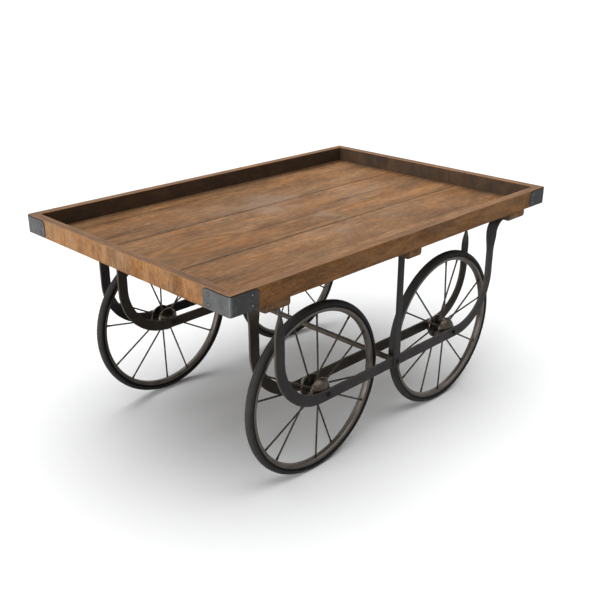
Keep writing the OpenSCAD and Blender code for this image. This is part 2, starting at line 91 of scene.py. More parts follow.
# a node tree and the ways that nodes are put in it
class Bench:
    def __init__(self, tree):
        self.tree = tree
        self.sizes = None

    def add(self, kind, settings=None, sockets=None, out=0):
        node = self.tree.nodes.new(kind)
        for key, value in (settings or {}).items():
            if key == "stops":
                fillRamp(node.color_ramp, value)
            else:
                setattr(node, key, value)
        pairs = sockets.items() if isinstance(sockets, dict) else enumerate(sockets or ())
        for key, value in pairs:
            if isinstance(value, Wire):
                self.tree.links.new(value.socket, node.inputs[key])
            else:
                node.inputs[key].default_value = value
        return Wire(self, node.outputs[out]) if node.outputs else node

    def sum(self, operation, *values):
        return self.add("ShaderNodeMath", {"operation": operation}, values)

    def vector(self, x, y, z):
        return self.add("ShaderNodeCombineXYZ", {}, (x, y, z))

    def vectorSum(self, operation, sockets):
        return self.add("ShaderNodeVectorMath", {"operation": operation}, sockets)

    def mix(self, factor, first, second):
        settings = {"data_type": "RGBA", "clamp_factor": True}
        return self.add("ShaderNodeMix", settings, {0: factor, 6: first, 7: second}, 2)

    # lays one of a look's shades over a colour, as strongly as its share says
    def paint(self, colour, amount, look, kind):
        return self.mix(amount * look[kind + "Share"], colour, tint(look[kind + "Shade"]))

    def ease(self, value, low, high):
        settings = {"interpolation_type": "SMOOTHSTEP"}
        return self.add("ShaderNodeMapRange", settings, {0: value, 1: low, 2: high, 3: 0.0, 4: 1.0})

    def grain(self, place, scale, detail, rough, bend=0.0):
        sockets = {"Vector": place, "Scale": scale, "Detail": detail, "Roughness": rough, "Distortion": bend}
        return self.add("ShaderNodeTexNoise", {}, sockets)

    def place(self):
        return self.add("ShaderNodeTexCoord", out="Object")

    def mark(self, name):
        return self.add("ShaderNodeAttribute", {"attribute_name": name}, out="Fac")

    def size(self, label):
        return self.sizes.also(label)


def fillRamp(ramp, stops):
    while len(ramp.elements) < len(stops):
        ramp.elements.new(1.0)
    for element, (place, colour) in zip(ramp.elements, stops):
        element.position = place
        element.color = colour


# "#rrggbb" as it looks on screen, to the linear colour that a socket takes
def tint(code):
    parts = [int(code[i:i + 2], 16) / 255 for i in (1, 3, 5)]
    linear = [v / 12.92 if v <= 0.04045 else ((v + 0.055) / 1.055) ** 2.4 for v in parts]
    return (*linear, 1.0)


def newFinish(name):
    finish = bpy.data.materials.new(name)
    finish.use_nodes = True
    finish.node_tree.nodes.clear()
    return finish, Bench(finish.node_tree)


# a look's "rough" is a level and how far a pattern moves it, its "bump" a depth and a strength
def closeFinish(bench, look, colour, rough, height, metal=0.0):
    depth, strength = look["bump"]
    bump = bench.add("ShaderNodeBump", {}, {"Strength": strength, "Distance": depth, "Height": height})
    shader = bench.add("ShaderNodeBsdfPrincipled", {}, {
        "Base Color": colour, "Roughness": rough, "Metallic": metal, "Specular IOR Level": look["shine"],
        "Normal": bump,
    })
    bench.add("ShaderNodeOutputMaterial", {}, {"Surface": shader})


def roughFrom(pattern, look):
    level, spread = look["rough"]
    return level + (pattern - 0.5) * spread


# metal or rubber: two shades in soft clouds, with fine stains
def mottle(bench, look):
    place = bench.place()
    cloud = bench.grain(place, *look["cloud"])
    fine = bench.grain(place, *look["fine"])
    colour = bench.mix(bench.ease(cloud, *look["cloudEase"]), tint(look["dark"]), tint(look["light"]))
    if look["stainShare"] > 0:
        colour = bench.paint(colour, bench.ease(fine, *look["fineEase"]), look, "stain")
    return place, cloud, fine, colour


# rings of points joined into a skin, with a cap on each end
def loft(rings):
    count = len(rings[0])
    points = [p for ring in rings for p in ring]
    last = len(points) - count
    faces = []
    for here in range(0, last, count):
        there = here + count
        for k in range(count):
            after = (k + 1) % count
            faces.append((here + k, here + after, there + after, there + k))
    faces.append(tuple(reversed(range(count))))
    faces.append(tuple(range(last, len(points))))
    return points, faces


# a mesh with a mark (a number or a vector) on each point
def plainMesh(name, points, edges=(), faces=(), **marks):
    mesh = bpy.data.meshes.new(name)
    mesh.from_pydata([tuple(p) for p in points], list(edges), list(faces))
    for label, values in marks.items():
        if isinstance(values[0], (int, float)):
            mesh.attributes.new(label, "FLOAT", "POINT").data.foreach_set("value", values)
        else:
            flat = [c for v in values for c in v]
            mesh.attributes.new(label, "FLOAT_VECTOR", "POINT").data.foreach_set("vector", flat)
    return mesh


def newPiece(name, points, faces, finish, body, nodes, edge=None, crease=35):
    marks = {} if edge is None else {"edge": edge}
    placePiece(name, plainMesh(name, points, (), faces, **marks), finish, body, nodes, crease)


# turns the faces outwards, smooths them and hands the piece to its body
def placePiece(name, mesh, finish, body, nodes, crease):
    work = bmesh.new()
    work.from_mesh(mesh)
    bmesh.ops.remove_doubles(work, verts=work.verts, dist=1e-6)
    bmesh.ops.recalc_face_normals(work, faces=work.faces)
    work.to_mesh(mesh)
    work.free()
    mesh.shade_smooth()
    mesh.set_sharp_from_angle(angle=math.radians(crease))
    mesh.materials.clear()
    mesh.materials.append(finish)
    piece = bpy.data.objects.new(name, mesh)
    scene.collection.objects.link(piece)
    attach(piece, body)
    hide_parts(*nodes)


# a tree with its sizes as named inputs; a whole number makes a whole-number input
def newTree(name, sizes):
    tree = bpy.data.node_groups.new(name, "GeometryNodeTree")
    tree.is_modifier = True
    face = tree.interface
    face.new_socket("Geometry", in_out="OUTPUT", socket_type="NodeSocketGeometry")
    face.new_socket("Geometry", in_out="INPUT", socket_type="NodeSocketGeometry")
    for label, value in sizes.items():
        kind = "NodeSocketInt" if isinstance(value, int) else "NodeSocketFloat"
        face.new_socket(label, in_out="INPUT", socket_type=kind).default_value = value
    bench = Bench(tree)
    bench.sizes = bench.add("NodeGroupInput", out="Geometry")
    return bench


def closeTree(bench, shape, finish):
    real = bench.add("GeometryNodeRealizeInstances", {}, {"Geometry": shape})
    dressed = bench.add("GeometryNodeSetMaterial", {}, {"Geometry": real, "Material": finish})
    bench.add("NodeGroupOutput", {}, {"Geometry": dressed})
    return bench.tree


# runs a tree on a start mesh and returns what it makes as a plain mesh
def growMesh(name, tree, start, sizes):
    holder = bpy.data.objects.new(name + "Start", start)
    scene.collection.objects.link(holder)
    step = holder.modifiers.new("grow", "NODES")
    step.node_group = tree
    for item in tree.interface.items_tree:
        if item.in_out == "INPUT" and item.name in sizes:
            step[item.identifier] = sizes[item.name]
    seen = bpy.context.evaluated_depsgraph_get()
    mesh = bpy.data.meshes.new_from_object(holder.evaluated_get(seen))
    holder.modifiers.remove(step)
    bpy.data.objects.remove(holder)
    mesh.name = name
    return mesh


# rectangle with rounded corners, as (across, up, edge) with a narrow strip beside each corner
def softOutline(halfA, halfB, radius, strip, cuts, steps=3):
    radius = min(radius, 0.98 * halfA, 0.98 * halfB)
    inA, inB = halfA - radius, halfB - radius
    outline = []
    for corner, (sa, sb) in enumerate(((1, 1), (-1, 1), (-1, -1), (1, -1))):
        first = corner * quarterTurn
        for k in range(steps + 1):
            a = first + quarterTurn * k / steps
            outline.append((sa * inA + radius * math.cos(a), sb * inB + radius * math.sin(a), 1.0))
        flatLength = 2 * (inA if corner % 2 == 0 else inB)
        last = outline[-1]
        target = (-sa * inA, last[1]) if corner % 2 == 0 else (last[0], -sb * inB)
        stops = [min(strip, 0.3 * flatLength), min(5 * strip, 0.4 * flatLength)]
        pieces = cuts[corner % 2]
        inner = [stops[1] + (flatLength - 2 * stops[1]) * k / pieces for k in range(1, pieces)]
        along = stops + inner + [flatLength - stops[1], flatLength - stops[0]]
        marks = [0.55, 0.12] + [0.0] * len(inner) + [0.12, 0.55]
        for distance, mark in zip(along, marks):
            t = distance / flatLength
            outline.append((last[0] + (target[0] - last[0]) * t, last[1] + (target[1] - last[1]) * t, mark))
    return outline


# timber: a grain drawn out along the piece, from broad patches down to flecks, over warm and cool brown
woodBase = {
    "warm": ("#573416", "#885b31", "#b37f4d"), "cool": ("#4a3722", "#765c42", "#9f8063"), "grimeAndShade": "#231b15",
    "run": 1.7, "side": 6.6, "level": 0.5, "grainShare": 3.0, "fibreShare": 0.75, "fleckShare": 0.95,
    "hueShare": 4.6, "hueLevel": 0.5, "streakShare": 0.0,
    "ringShare": 0.0, "ringGap": 0.034, "ringBend": 0.10, "ringWaver": 3.0, "calm": 0.6, "heartWarmth": 0.05,
    "rough": (0.58, 0.3), "shine": 0.16, "bump": (0.0012, 0.35),
}
# each layer of the grain: scale along, scale across, detail, roughness, bend
woodLayers = {
    "body": (1.0, 1.0, 9.0, 0.77, 0.25), "fibre": (4.0, 16.0, 5.0, 0.70, 0.0),
    "fleck": (22.0, 14.0, 3.0, 0.65, 0.0), "hue": (1.6, 0.9, 9.0, 0.86, 0.0),
    "streak": (0.45, 2.6, 4.0, 0.60, 0.3),
}


def woodGrain(bench, along, look):
    shift = look["shift"]
    place = bench.place()
    parts = bench.add("ShaderNodeSeparateXYZ", {}, (place,))
    axes = {"x": parts, "y": parts.also("Y"), "z": parts.also("Z")}
    sideways, inwards = {"x": "yz", "y": "xz", "z": "yx"}[along]
    run = axes[along] + shift[0]
    across = axes[sideways] + shift[1]
    depth = axes[inwards] + shift[2]

    def layer(kind):
        alongScale, acrossScale, detail, rough, bend = woodLayers[kind]
        runScale, sideScale = look["run"] * alongScale, look["side"] * acrossScale
        spot = bench.vector(run * runScale, across * sideScale, depth * sideScale)
        return bench.grain(spot, 1.0, detail, rough, bend)

    body, fibre, hue = layer("body"), layer("fibre"), layer("hue")
    tone = look["level"] + (body - 0.5) * look["grainShare"] + (fibre - 0.5) * look["fibreShare"]
    tone = tone + (layer("fleck") - 0.5) * look["fleckShare"]
    if look["streakShare"] > 0:  # long soft dark streaks
        tone = tone - bench.ease(layer("streak"), 0.52, 0.72) * look["streakShare"]
    if look["ringShare"] > 0:
        # rings cut slantwise show as long pointed arches, in calmer and warmer wood
        heartAcross, heartAlong, slant = look["heart"]
        offA = across - heartAcross + (body - 0.5) * look["ringBend"]
        offB = (run - shift[0] - heartAlong) * slant
        radius = (offA * offA + offB * offB).calc("SQRT")
        ring = (radius * (2 * halfTurn / look["ringGap"]) + (hue - 0.5) * look["ringWaver"]).calc("SINE")
        near = 1.0 - bench.ease(radius, 0.5 * look["figure"], look["figure"])
        tone = tone + (look["level"] - tone) * near * look["calm"] + ring * near * look["ringShare"]
        hue = hue - near * look["heartWarmth"]
    return {"body": body, "fibre": fibre, "hue": hue, "tone": tone, "axes": axes, "place": place}


def woodColour(bench, grain, look):
    ramps = []
    for shades in (look["warm"], look["cool"]):
        stops = [(0.0, tint(shades[0])), (0.5, tint(shades[1])), (1.0, tint(shades[2]))]
        ramps.append(bench.add("ShaderNodeValToRGB", {"stops": stops}, {"Fac": grain["tone"]}))
    coolness = ((grain["hue"] - 0.5) * look["hueShare"] + look["hueLevel"]).between(0.0, 1.0)
    return bench.mix(coolness, ramps[0], ramps[1])


def woodHeight(grain):
    return grain["fibre"] * 0.6 + grain["body"] * 0.6


tray = {
    "length": 1.870, "width": 1.256, "railHeight": 0.076, "railThick": 0.037, "railLow": 0.854,
    "cornerRadius": 0.010, "boardLow": 0.840, "boardThick": 0.022, "gap": 0.0015,
    "rightBoard": 0.405, "middleBoard": 0.392,
}
bayHalfX = tray["length"] / 2 - tray["railThick"]
bayHalfY = tray["width"] / 2 - tray["railThick"]
railTop = tray["railLow"] + tray["railHeight"]

# floor boards: eased edges, lengthwise grain, painted shade by the rails, dark seams, scuffs in the middle
boardLook = {
    "easing": 0.0020, "step": 0.03, "waver": 0.0005, "sink": 0.0003, "railGap": 0.0002, "seamReach": 0.0007,
    "scuffShade": "#9a8471", "scuffShare": 0.58, "scuffAt": (0.10, 0.18), "scuffReach": (0.30, 0.17),
    "scuffGrain": (3.1, 4.6), "scuffStart": 0.6, "scuffLines": (9.0, 70.0), "scuffRough": 0.12,
    "railShadeReach": 0.09, "railShadeShare": 0.64, "seamShare": 0.60,
    "left": {
        "shift": (3.1, 0.0, 0.0), "level": 0.40, "hueShare": 2.4, "grainShare": 2.5, "streakShare": 0.40,
    },
    "middle": {
        "shift": (7.4, 0.0, 0.0), "level": 0.445, "hueLevel": 0.47, "hueShare": 3.8, "grainShare": 2.6,
        "streakShare": 0.42, "ringShare": 0.13, "heart": (-0.012, -0.557, 0.34), "figure": 0.12,
    },
    "right": {
        "shift": (15.3, 0.0, 0.0), "level": 0.475, "hueShare": 2.8, "grainShare": 2.5, "streakShare": 0.40,
    },
}


def boardFinish(name, look):
    look = {**woodBase, **look}
    finish, bench = newFinish(name)
    grain = woodGrain(bench, "x", look)
    colour = woodColour(bench, grain, look)
    x, y, z = (grain["axes"][k] for k in "xyz")
    # pale scuffs where goods have slid about, most of them at one spot
    scaleX, scaleY = boardLook["scuffGrain"]
    rubbed = bench.grain(bench.vector(x * scaleX + boardLook["scuffStart"], y * scaleY, z), 1.0, 4.0, 0.62)
    scaleX, scaleY = boardLook["scuffLines"]
    lines = bench.grain(bench.vector(x * scaleX, y * scaleY, z), 1.0, 3.0, 0.65)
    middle = 1.0 - bench.ease((x * x * 1.6 + y * y * 3.0).calc("SQRT"), 0.10, 1.10)
    (spotX, spotY), (reachX, reachY) = boardLook["scuffAt"], boardLook["scuffReach"]
    offX, offY = (x - spotX) / reachX, (y - spotY) / reachY
    most = 1.0 - bench.ease((offX * offX + offY * offY).calc("SQRT"), 0.2, 1.0)
    streaky = rubbed + most * 0.20 + (lines - 0.5) * 0.30
    scuffed = bench.ease(streaky, 0.50, 0.72) * middle * boardLook["scuffShare"]
    colour = bench.mix(scuffed, colour, tint(boardLook["scuffShade"]))
    # painted shade by the rails, where their shadow would fall, and dark seams
    toRail = (bayHalfX - abs(x)).calc("MINIMUM", bayHalfY - abs(y))
    ragged = toRail + (rubbed - 0.5) * 0.05
    paintedShade = (1.0 - bench.ease(ragged, -0.01, boardLook["railShadeReach"])) * boardLook["railShadeShare"]
    seam = bench.ease(bench.mark("edge"), 0.2, 1.0) * boardLook["seamShare"]
    colour = bench.mix(paintedShade.calc("MAXIMUM", seam), colour, tint(look["grimeAndShade"]))
    rough = roughFrom(grain["body"], look) + scuffed * boardLook["scuffRough"]
    closeFinish(bench, look, colour, rough, woodHeight(grain))
    return finish


# a board between two y places; its lower half reaches into each seam, so that no light shows through
def floorBoard(name, lowY, highY, reaches, look, node):
    middleY, width = (lowY + highY) / 2, highY - lowY
    halfX = bayHalfX - boardLook["railGap"]
    middleZ = tray["boardLow"] + tray["boardThick"] / 2
    steps = round(2 * halfX / boardLook["step"])
    ease = boardLook["easing"]
    places = [(-halfX, ease), (-halfX + 0.3 * ease, 0.29 * ease)]
    places += [(-halfX + ease, 0.0), (-halfX + 3 * ease, 0.0)]
    places += [(-halfX + 2 * halfX * k / steps, 0.0) for k in range(1, steps)]
    places += [(-x, inset) for x, inset in reversed(places[:4])]
    rings, marks = [], []
    for x, inset in places:
        worn = ease * (1.0 + 0.5 * noise.noise((x * 9.0, middleY * 7.0, 0.3)))
        outline = softOutline(width / 2 - inset, tray["boardThick"] / 2 - inset, worn, 0.002, (10, 1))
        ring = []
        for y, z, mark in outline:
            lift = boardLook["waver"] * noise.noise((x * 2.4, (middleY + y) * 5.0, 1.7))
            if z > 0:
                ring.append(Vector((x, middleY + y, middleZ + z + lift - boardLook["sink"])))
            else:
                reach = reaches[1] if y > 0 else -reaches[0]
                ring.append(Vector((x, middleY + y + reach, middleZ + z)))
            marks.append(1.0 if inset > 0 else mark)
        rings.append(ring)
    points, faces = loft(rings)
    newPiece(name, points, faces, boardFinish(name + "Wood", look), "cart", [node], marks)


rightSeam = -bayHalfY + tray["gap"] + tray["rightBoard"]
middleLow = rightSeam + tray["gap"]
leftSeam = middleLow + tray["middleBoard"]
leftLow = leftSeam + tray["gap"]
leftBoard = bayHalfY - tray["gap"] - leftLow
outerY, reach = bayHalfY - boardLook["railGap"], boardLook["seamReach"]
floorBoard("floorBoardRight", -outerY, rightSeam, (0.0, reach), boardLook["right"], "floor_board_right")
floorBoard("floorBoardMiddle", middleLow, leftSeam, (reach, reach), boardLook["middle"], "floor_board_middle")
floorBoard("floorBoardLeft", leftLow, outerY, (reach, 0.0), boardLook["left"], "floor_board_left")
print("floor boards laid")

# rails: the side rails run the whole length and the end rails stand between them
railLook = {
    "easing": 0.0016, "step": 0.024, "jointGap": 0.0002, "dent": 0.0004, "sink": 0.0003,
    "topShift": 5.0, "topRun": 3.0, "topSide": 16.0, "topShade": "#6d5646", "topDull": 0.36,
    "insidePaintedShade": "#2c241e", "insidePaintedShare": 0.89, "wornShade": "#a98058", "wornShare": 0.38,
    "lowShare": 0.30,
    "right": {
        "along": "x", "shift": (21.0, 0.0, 0.0), "run": 4.0, "side": 16.0,
        "level": 0.62, "hueLevel": 0.2, "top": 0.37,
    },
    "left": {
        "along": "x", "shift": (27.5, 0.0, 0.0), "run": 4.0, "side": 16.0,
        "level": 0.60, "hueLevel": 0.4, "top": 0.37,
    },
    "front": {
        "along": "z", "shift": (0.0, 33.0, 0.0), "run": 3.0, "side": 10.0,
        "level": 0.70, "hueLevel": 0.33, "top": 0.17,
    },
    "rear": {
        "along": "z", "shift": (0.0, 41.0, 0.0), "run": 3.4, "side": 14.0,
        "level": 0.58, "hueLevel": 0.5, "top": 0.40,
    },
}


def railFinish(name, look, lengthwise):
    look = {**woodBase, **look}
    finish, bench = newFinish(name)
    grain = woodGrain(bench, look["along"], look)
    colour = woodColour(bench, grain, look)
    x, y, z = (grain["axes"][k] for k in "xyz")
    onTop = bench.ease(z, railTop - 0.004, railTop - 0.0005)
    # the top shows grain along the rail, dulled by hands
    topLook = {
        **look, "shift": (look["shift"][0] + railLook["topShift"], 0.0, 0.0), "level": look["top"],
        "run": railLook["topRun"], "side": railLook["topSide"],
    }
    topColour = woodColour(bench, woodGrain(bench, lengthwise, topLook), topLook)
    topColour = bench.mix(railLook["topDull"], topColour, tint(railLook["topShade"]))
    colour = bench.mix(onTop, colour, topColour)
    # inside faces are darkened, a painted shade
    insideFace, away = (bayHalfY, y) if lengthwise == "x" else (bayHalfX, x)
    inside = bench.ease(insideFace + 0.0035 - abs(away), 0.0, 0.003) * (1.0 - onTop)
    uneven = bench.grain(grain["place"], 14.0, 3.0, 0.6)
    paintedShade = inside * (railLook["insidePaintedShare"] + (uneven - 0.5) * 0.3)
    colour = bench.mix(paintedShade, colour, tint(railLook["insidePaintedShade"]))
    # worn edges, and darker along the bottom
    chips = bench.grain(grain["place"], 38.0, 3.0, 0.65)
    worn = bench.ease(bench.mark("edge") + (chips - 0.5) * 1.1, 0.45, 1.05) * railLook["wornShare"]
    colour = bench.mix(worn * (1.0 - inside), colour, tint(railLook["wornShade"]))
    low = 1.0 - bench.ease(z + (uneven - 0.5) * 0.02, tray["railLow"] - 0.004, tray["railLow"] + 0.012)
    colour = bench.mix(low * railLook["lowShare"], colour, tint(look["grimeAndShade"]))
    rough = roughFrom(grain["body"], look) - worn * 0.08
    closeFinish(bench, look, colour, rough, woodHeight(grain))
    return finish


# a rail along X, its outer face at y = 0; a cornered one is rounded in plan at both ends
def railShape(halfLength, cornered):
    thick, radius = tray["railThick"], tray["cornerRadius"] if cornered else 0.0
    ease = railLook["easing"]
    steps = round(2 * halfLength / railLook["step"])
    places = [(1.0, ease), (1.0 - 0.3 * ease / halfLength, 0.3 * ease), (1.0 - ease / halfLength, 0.0)]
    if cornered:
        turns = [math.radians(d) for d in (50, 35, 20, 0)]
        places += [(1.0 - radius * (1 - math.sin(a)) / halfLength, 0.0) for a in turns]
    places += [(2 * k / steps - 1, 0.0) for k in range(steps - 1, steps // 2 - 1, -1)]
    places += [(-t, inset) for t, inset in reversed(places) if t > 0]
    rings, marks = [], []
    for share, inset in places:
        x = share * halfLength
        beyond = max(0.0, abs(x) - (halfLength - radius))
        rounded = radius - math.sqrt(max(0.0, radius * radius - beyond * beyond))
        wide = thick - rounded
        worn = ease * (1.0 + 0.5 * noise.noise((x * 7.0, halfLength * 3.1, 2.2)))
        outline = softOutline(wide / 2 - inset, tray["railHeight"] / 2 - inset, worn, 0.0025, (3, 5))
        ring = []
        for across, up, mark in outline:
            dent = railLook["dent"] * noise.noise((x * 5.0, up * 30.0, across * 30.0))
            y = across - wide / 2 - rounded - (railLook["sink"] + dent if across > 0 else 0.0)
            ring.append(Vector((x, y, tray["railLow"] + tray["railHeight"] / 2 + up)))
            marks.append(max(mark, 1.0 if inset > 0 else 0.0))
        rings.append(ring)
    points, faces = loft(rings)
    return points, faces, marks


def sideRail(name, side, look, node):
    points, faces, marks = railShape(tray["length"] / 2, True)
    points = [Vector((p.x, side * (tray["width"] / 2 + p.y), p.z)) for p in points]
    newPiece(name, points, faces, railFinish(name + "Wood", look, "x"), "cart", [node], marks)


def endRail(name, end, look, node):
    points, faces, marks = railShape(bayHalfY - railLook["jointGap"], False)
    points = [Vector((end * (tray["length"] / 2 + p.y), p.x, p.z)) for p in points]
    newPiece(name, points, faces, railFinish(name + "Wood", look, "y"), "cart", [node], marks)


sideRail("sideRailRight", -1, railLook["right"], "side_rail_right")
sideRail("sideRailLeft", 1, railLook["left"], "side_rail_left")
endRail("endRailFront", -1, railLook["front"], "end_rail_front")
endRail("endRailRear", 1, railLook["rear"], "end_rail_rear")
print("rails set round the floor")

# bearers: let in for the boards, with rounded lower ends
bearerLook = {
    "low": 0.820, "height": 0.034, "endRadius": 0.018, "letIn": 0.014, "easing": 0.002, "corner": 0.001,
    "endX": 0.727, "endWidth": 0.106, "middleWidth": 0.070,
    "run": 4.0, "side": 16.0, "level": 0.58, "hueLevel": 0.35, "rough": (0.60, 0.2),
    "wornShade": "#a78460", "wornShare": 0.4, "greyShade": "#443930", "greyShare": 0.78, "underRailShadeShare": 0.35,
}


def bearerFinish(name, shift):
    look = {**woodBase, **bearerLook, "shift": (shift, 0.0, 0.0)}
    finish, bench = newFinish(name)
    grain = woodGrain(bench, "y", look)
    colour = woodColour(bench, grain, look)
    y, z = grain["axes"]["y"], grain["axes"]["z"]
    chips = bench.grain(grain["place"], 40.0, 3.0, 0.65)
    worn = bench.ease(bench.mark("edge") + (chips - 0.5), 0.5, 1.1)
    colour = bench.paint(colour, worn, look, "worn")
    # the long faces are darkened nearly to the ends, a painted shadow under the tray, and the ends darken
    # towards the top, a painted shade under the rails
    fromMiddle = abs(y) + (chips - 0.5) * 0.002
    trayShadowed = 1.0 - bench.ease(fromMiddle, tray["width"] / 2 - 0.0035, tray["width"] / 2 - 0.0008)
    colour = bench.paint(colour, trayShadowed, look, "grey")
    underRailShade = bench.ease(z + (chips - 0.5) * 0.012, look["low"] + 0.022, look["low"] + 0.035)
    colour = bench.mix(underRailShade * look["underRailShadeShare"], colour, tint(look["grimeAndShade"]))
    closeFinish(bench, look, colour, roughFrom(grain["body"], look), woodHeight(grain))
    return finish


# moves a closed outline inwards along its own normals
def insetLoop(loop, amount):
    moved = []
    for k, here in enumerate(loop):
        before, after = loop[k - 1], loop[(k + 1) % len(loop)]
        inA = (here - before).normalized()
        inB = (after - here).normalized()
        normal = Vector((-(inA.y + inB.y), inA.x + inB.x))
        if normal.length < 1e-9:
            normal = Vector((-inA.y, inA.x))
        normal.normalize()
        lean = max(0.5, normal.dot(Vector((-inA.y, inA.x))))
        moved.append(here + normal * amount / lean)
    return moved


# half of the outline, from the rounded lower end up and over the let-in, and its mirror image
def bearerOutline():
    half, radius, high = tray["width"] / 2, bearerLook["endRadius"], bearerLook["height"]
    low, corner = high - bearerLook["letIn"], bearerLook["corner"]
    turns = [quarterTurn * k / 8 for k in range(9)]
    right = [Vector((half - radius + radius * math.sin(a), radius - radius * math.cos(a))) for a in turns]
    right += [Vector((half, high - corner)), Vector((half - corner, high)), Vector((bayHalfY, high))]
    right += [Vector((bayHalfY, low + corner)), Vector((bayHalfY - corner, low))]
    bottom = [Vector((k / 10, 0.0)) for k in range(-5, 6)]
    return bottom + right + [Vector((-p.x, p.y)) for p in reversed(right)]


def bearer(name, middleX, width, shift, node):
    loop = bearerOutline()
    ease = bearerLook["easing"]
    half = width / 2
    places = [(-half, ease), (-half + 0.3 * ease, 0.3 * ease)]
    places += [(-half + ease, 0.0), (-half + 3 * ease, 0.0)]
    places += [(0.0, 0.0)] + [(-x, inset) for x, inset in reversed(places)]
    rings, marks = [], []
    for x, inset in places:
        ring = insetLoop(loop, inset) if inset > 0 else loop
        rings.append([Vector((middleX + x, p.x, bearerLook["low"] + p.y)) for p in ring])
        nearEdge = abs(abs(x) - half) < 1.5 * ease
        marks += [1.0 if inset > 0 else 0.5 if nearEdge else 0.0] * len(ring)
    points, faces = loft(rings)
    finish = bearerFinish(name + "Wood", shift)
    newPiece(name, points, faces, finish, "cart", [node], marks, 28)


# each bearer's place, its width and where its grain starts
bearerRows = {
    "front": (-bearerLook["endX"], bearerLook["endWidth"], 51.0),
    "middle": (0.0, bearerLook["middleWidth"], 57.0),
    "rear": (bearerLook["endX"], bearerLook["endWidth"], 63.0),
}
for row, (x, width, shift) in bearerRows.items():
    bearer("bearer" + row.title(), x, width, shift, "bearer_" + row)
print("bearers fixed under the floor")

# how far the rivets stand in from the tray's corners, and how high
rivetPlaces = {"sideIn": 0.092, "endIn": 0.104, "middleZ": 0.890, "pitch": 0.036, "out": 0.003}

# dark steel sheet, its edges painted nearly black as shade, and a light line on the bend that is partly
# rubbed wear and partly a painted highlight
sheetLook = {
    "cloud": (26.0, 5.0, 0.65), "cloudEase": (0.35, 0.68), "dark": "#5b5b5c", "light": "#696a6a",
    "fine": (260.0, 3.0, 0.6), "fineEase": (0.5, 0.75), "stainShade": "#464748", "stainShare": 0.35,
    "rubbedShade": "#8b8c8d", "rubbedShare": 0.55, "edgeShade": "#171615", "edgeShare": 0.85,
    "ringShade": "#1d1b1a", "ringShare": 0.75, "ringShadeReach": (0.0058, 0.0085),
    "rough": (0.48, 0.35), "shine": 0.03, "bump": (0.0006, 0.3),
}


def sheetFinish(name, look):
    finish, bench = newFinish(name)
    place, cloud, fine, colour = mottle(bench, look)
    # a light line along the bend, partly rubbed wear and partly a painted highlight
    rubbed = bench.ease(bench.mark("bend") + (cloud - 0.5) * 0.5, 0.35, 1.0)
    colour = bench.paint(colour, rubbed, look, "rubbed")
    # the edges are painted nearly black, a painted shade
    dark = bench.ease(bench.mark("edge") + (cloud - 0.5) * 0.25, 0.25, 0.8)
    colour = bench.paint(colour, dark, look, "edge")
    # a dark ring round each rivet, soiling and a painted shade where the head meets the sheet
    x = bench.add("ShaderNodeSeparateXYZ", {}, (place,))
    y, z = x.also("Y"), x.also("Z")
    high = abs(abs(z - rivetPlaces["middleZ"]) - rivetPlaces["pitch"] / 2)
    alongX = abs(abs(x) - tray["length"] / 2 + rivetPlaces["sideIn"])
    alongY = abs(abs(y) - tray["width"] / 2 + rivetPlaces["endIn"])
    aside = alongX.calc("MINIMUM", alongY)
    ring = 1.0 - bench.ease((high * high + aside * aside).calc("SQRT"), *look["ringShadeReach"])
    colour = bench.paint(colour, ring, look, "ring")
    rough = roughFrom(cloud, look) - rubbed * 0.1
    closeFinish(bench, look, colour, rough, cloud * 0.6 + fine * 0.4, rubbed * 0.3)
    return finish


bracketLook = {
    "sideWing": 0.122, "endWing": 0.134, "thick": 0.003, "clear": 0.00005, "margin": 0.002,
    "endRadius": 0.017, "easing": 0.0008, "edgeShadeBand": 0.0058,
}
steelSheet = sheetFinish("bracketSteel", sheetLook)


# the sheet from one wing's free end, round the corner, to the other's
def cornerBracket(name, end, side, node):
    look = bracketLook
    thick = look["thick"] - look["clear"]
    halfHigh = tray["railHeight"] / 2 - look["margin"]
    r = look["endRadius"]

    def reaches(wing):
        straight = wing - look["thick"] - tray["cornerRadius"]
        rounded = [r * (1 - math.cos(quarterTurn * k / 7)) for k in range(2, 8)]
        return straight, [0.0, 0.0004, 0.0012] + rounded + [0.03, 0.06, 0.09, straight - 0.001]

    sideRun, sideStops = reaches(look["sideWing"])
    endRun, endStops = reaches(look["endWing"])
    stations = [("x", e) for e in sideStops] + [("bend", quarterTurn * k / 10) for k in range(11)]
    stations += [("y", e) for e in reversed(endStops)]
    cornerX, cornerY = tray["length"] / 2 - tray["cornerRadius"], tray["width"] / 2 - tray["cornerRadius"]
    rings, marks, bendWearAndGlint = [], [], []
    for kind, value in stations:
        tall, thin, freeEndShade = halfHigh, 0.0, 0.0
        if kind != "bend":
            e = min(value, r)
            tall = halfHigh - r + math.sqrt(max(0.0, r * r - (r - e) ** 2))
            thin = max(0.0, look["easing"] - value) * 0.6
            # painted shade at each wing's free end
            freeEndShade = (1.0 - min(1.0, value / look["edgeShadeBand"])) * 0.5
        outline = sheetOutline(thick / 2 - thin, max(0.002, tall - thin), look["easing"], look["edgeShadeBand"])
        ring = []
        for out, up, mark in outline:
            away = thick / 2 + out + look["clear"]
            if kind == "x":  # wing on the side rail's face, running along X
                p = (cornerX - sideRun + value, tray["width"] / 2 + away)
            elif kind == "y":  # wing on the end rail's face
                p = (tray["length"] / 2 + away, cornerY - endRun + value)
            else:
                reach = tray["cornerRadius"] + away
                p = (cornerX + reach * math.sin(value), cornerY + reach * math.cos(value))
            ring.append(Vector((end * p[0], side * p[1], tray["railLow"] + tray["railHeight"] / 2 + up)))
            marks.append(max(mark, freeEndShade))
            # the light line on the bend, partly wear and partly a painted highlight
            bendWearAndGlint.append(max(0.0, 1.0 - abs(value / quarterTurn - 0.6) / 0.3) if kind == "bend" else 0.0)
        rings.append(ring)
    points, faces = loft(rings)
    mesh = plainMesh(name, points, (), faces, edge=marks, bend=bendWearAndGlint)
    placePiece(name, mesh, steelSheet, "cart", [node], 40)
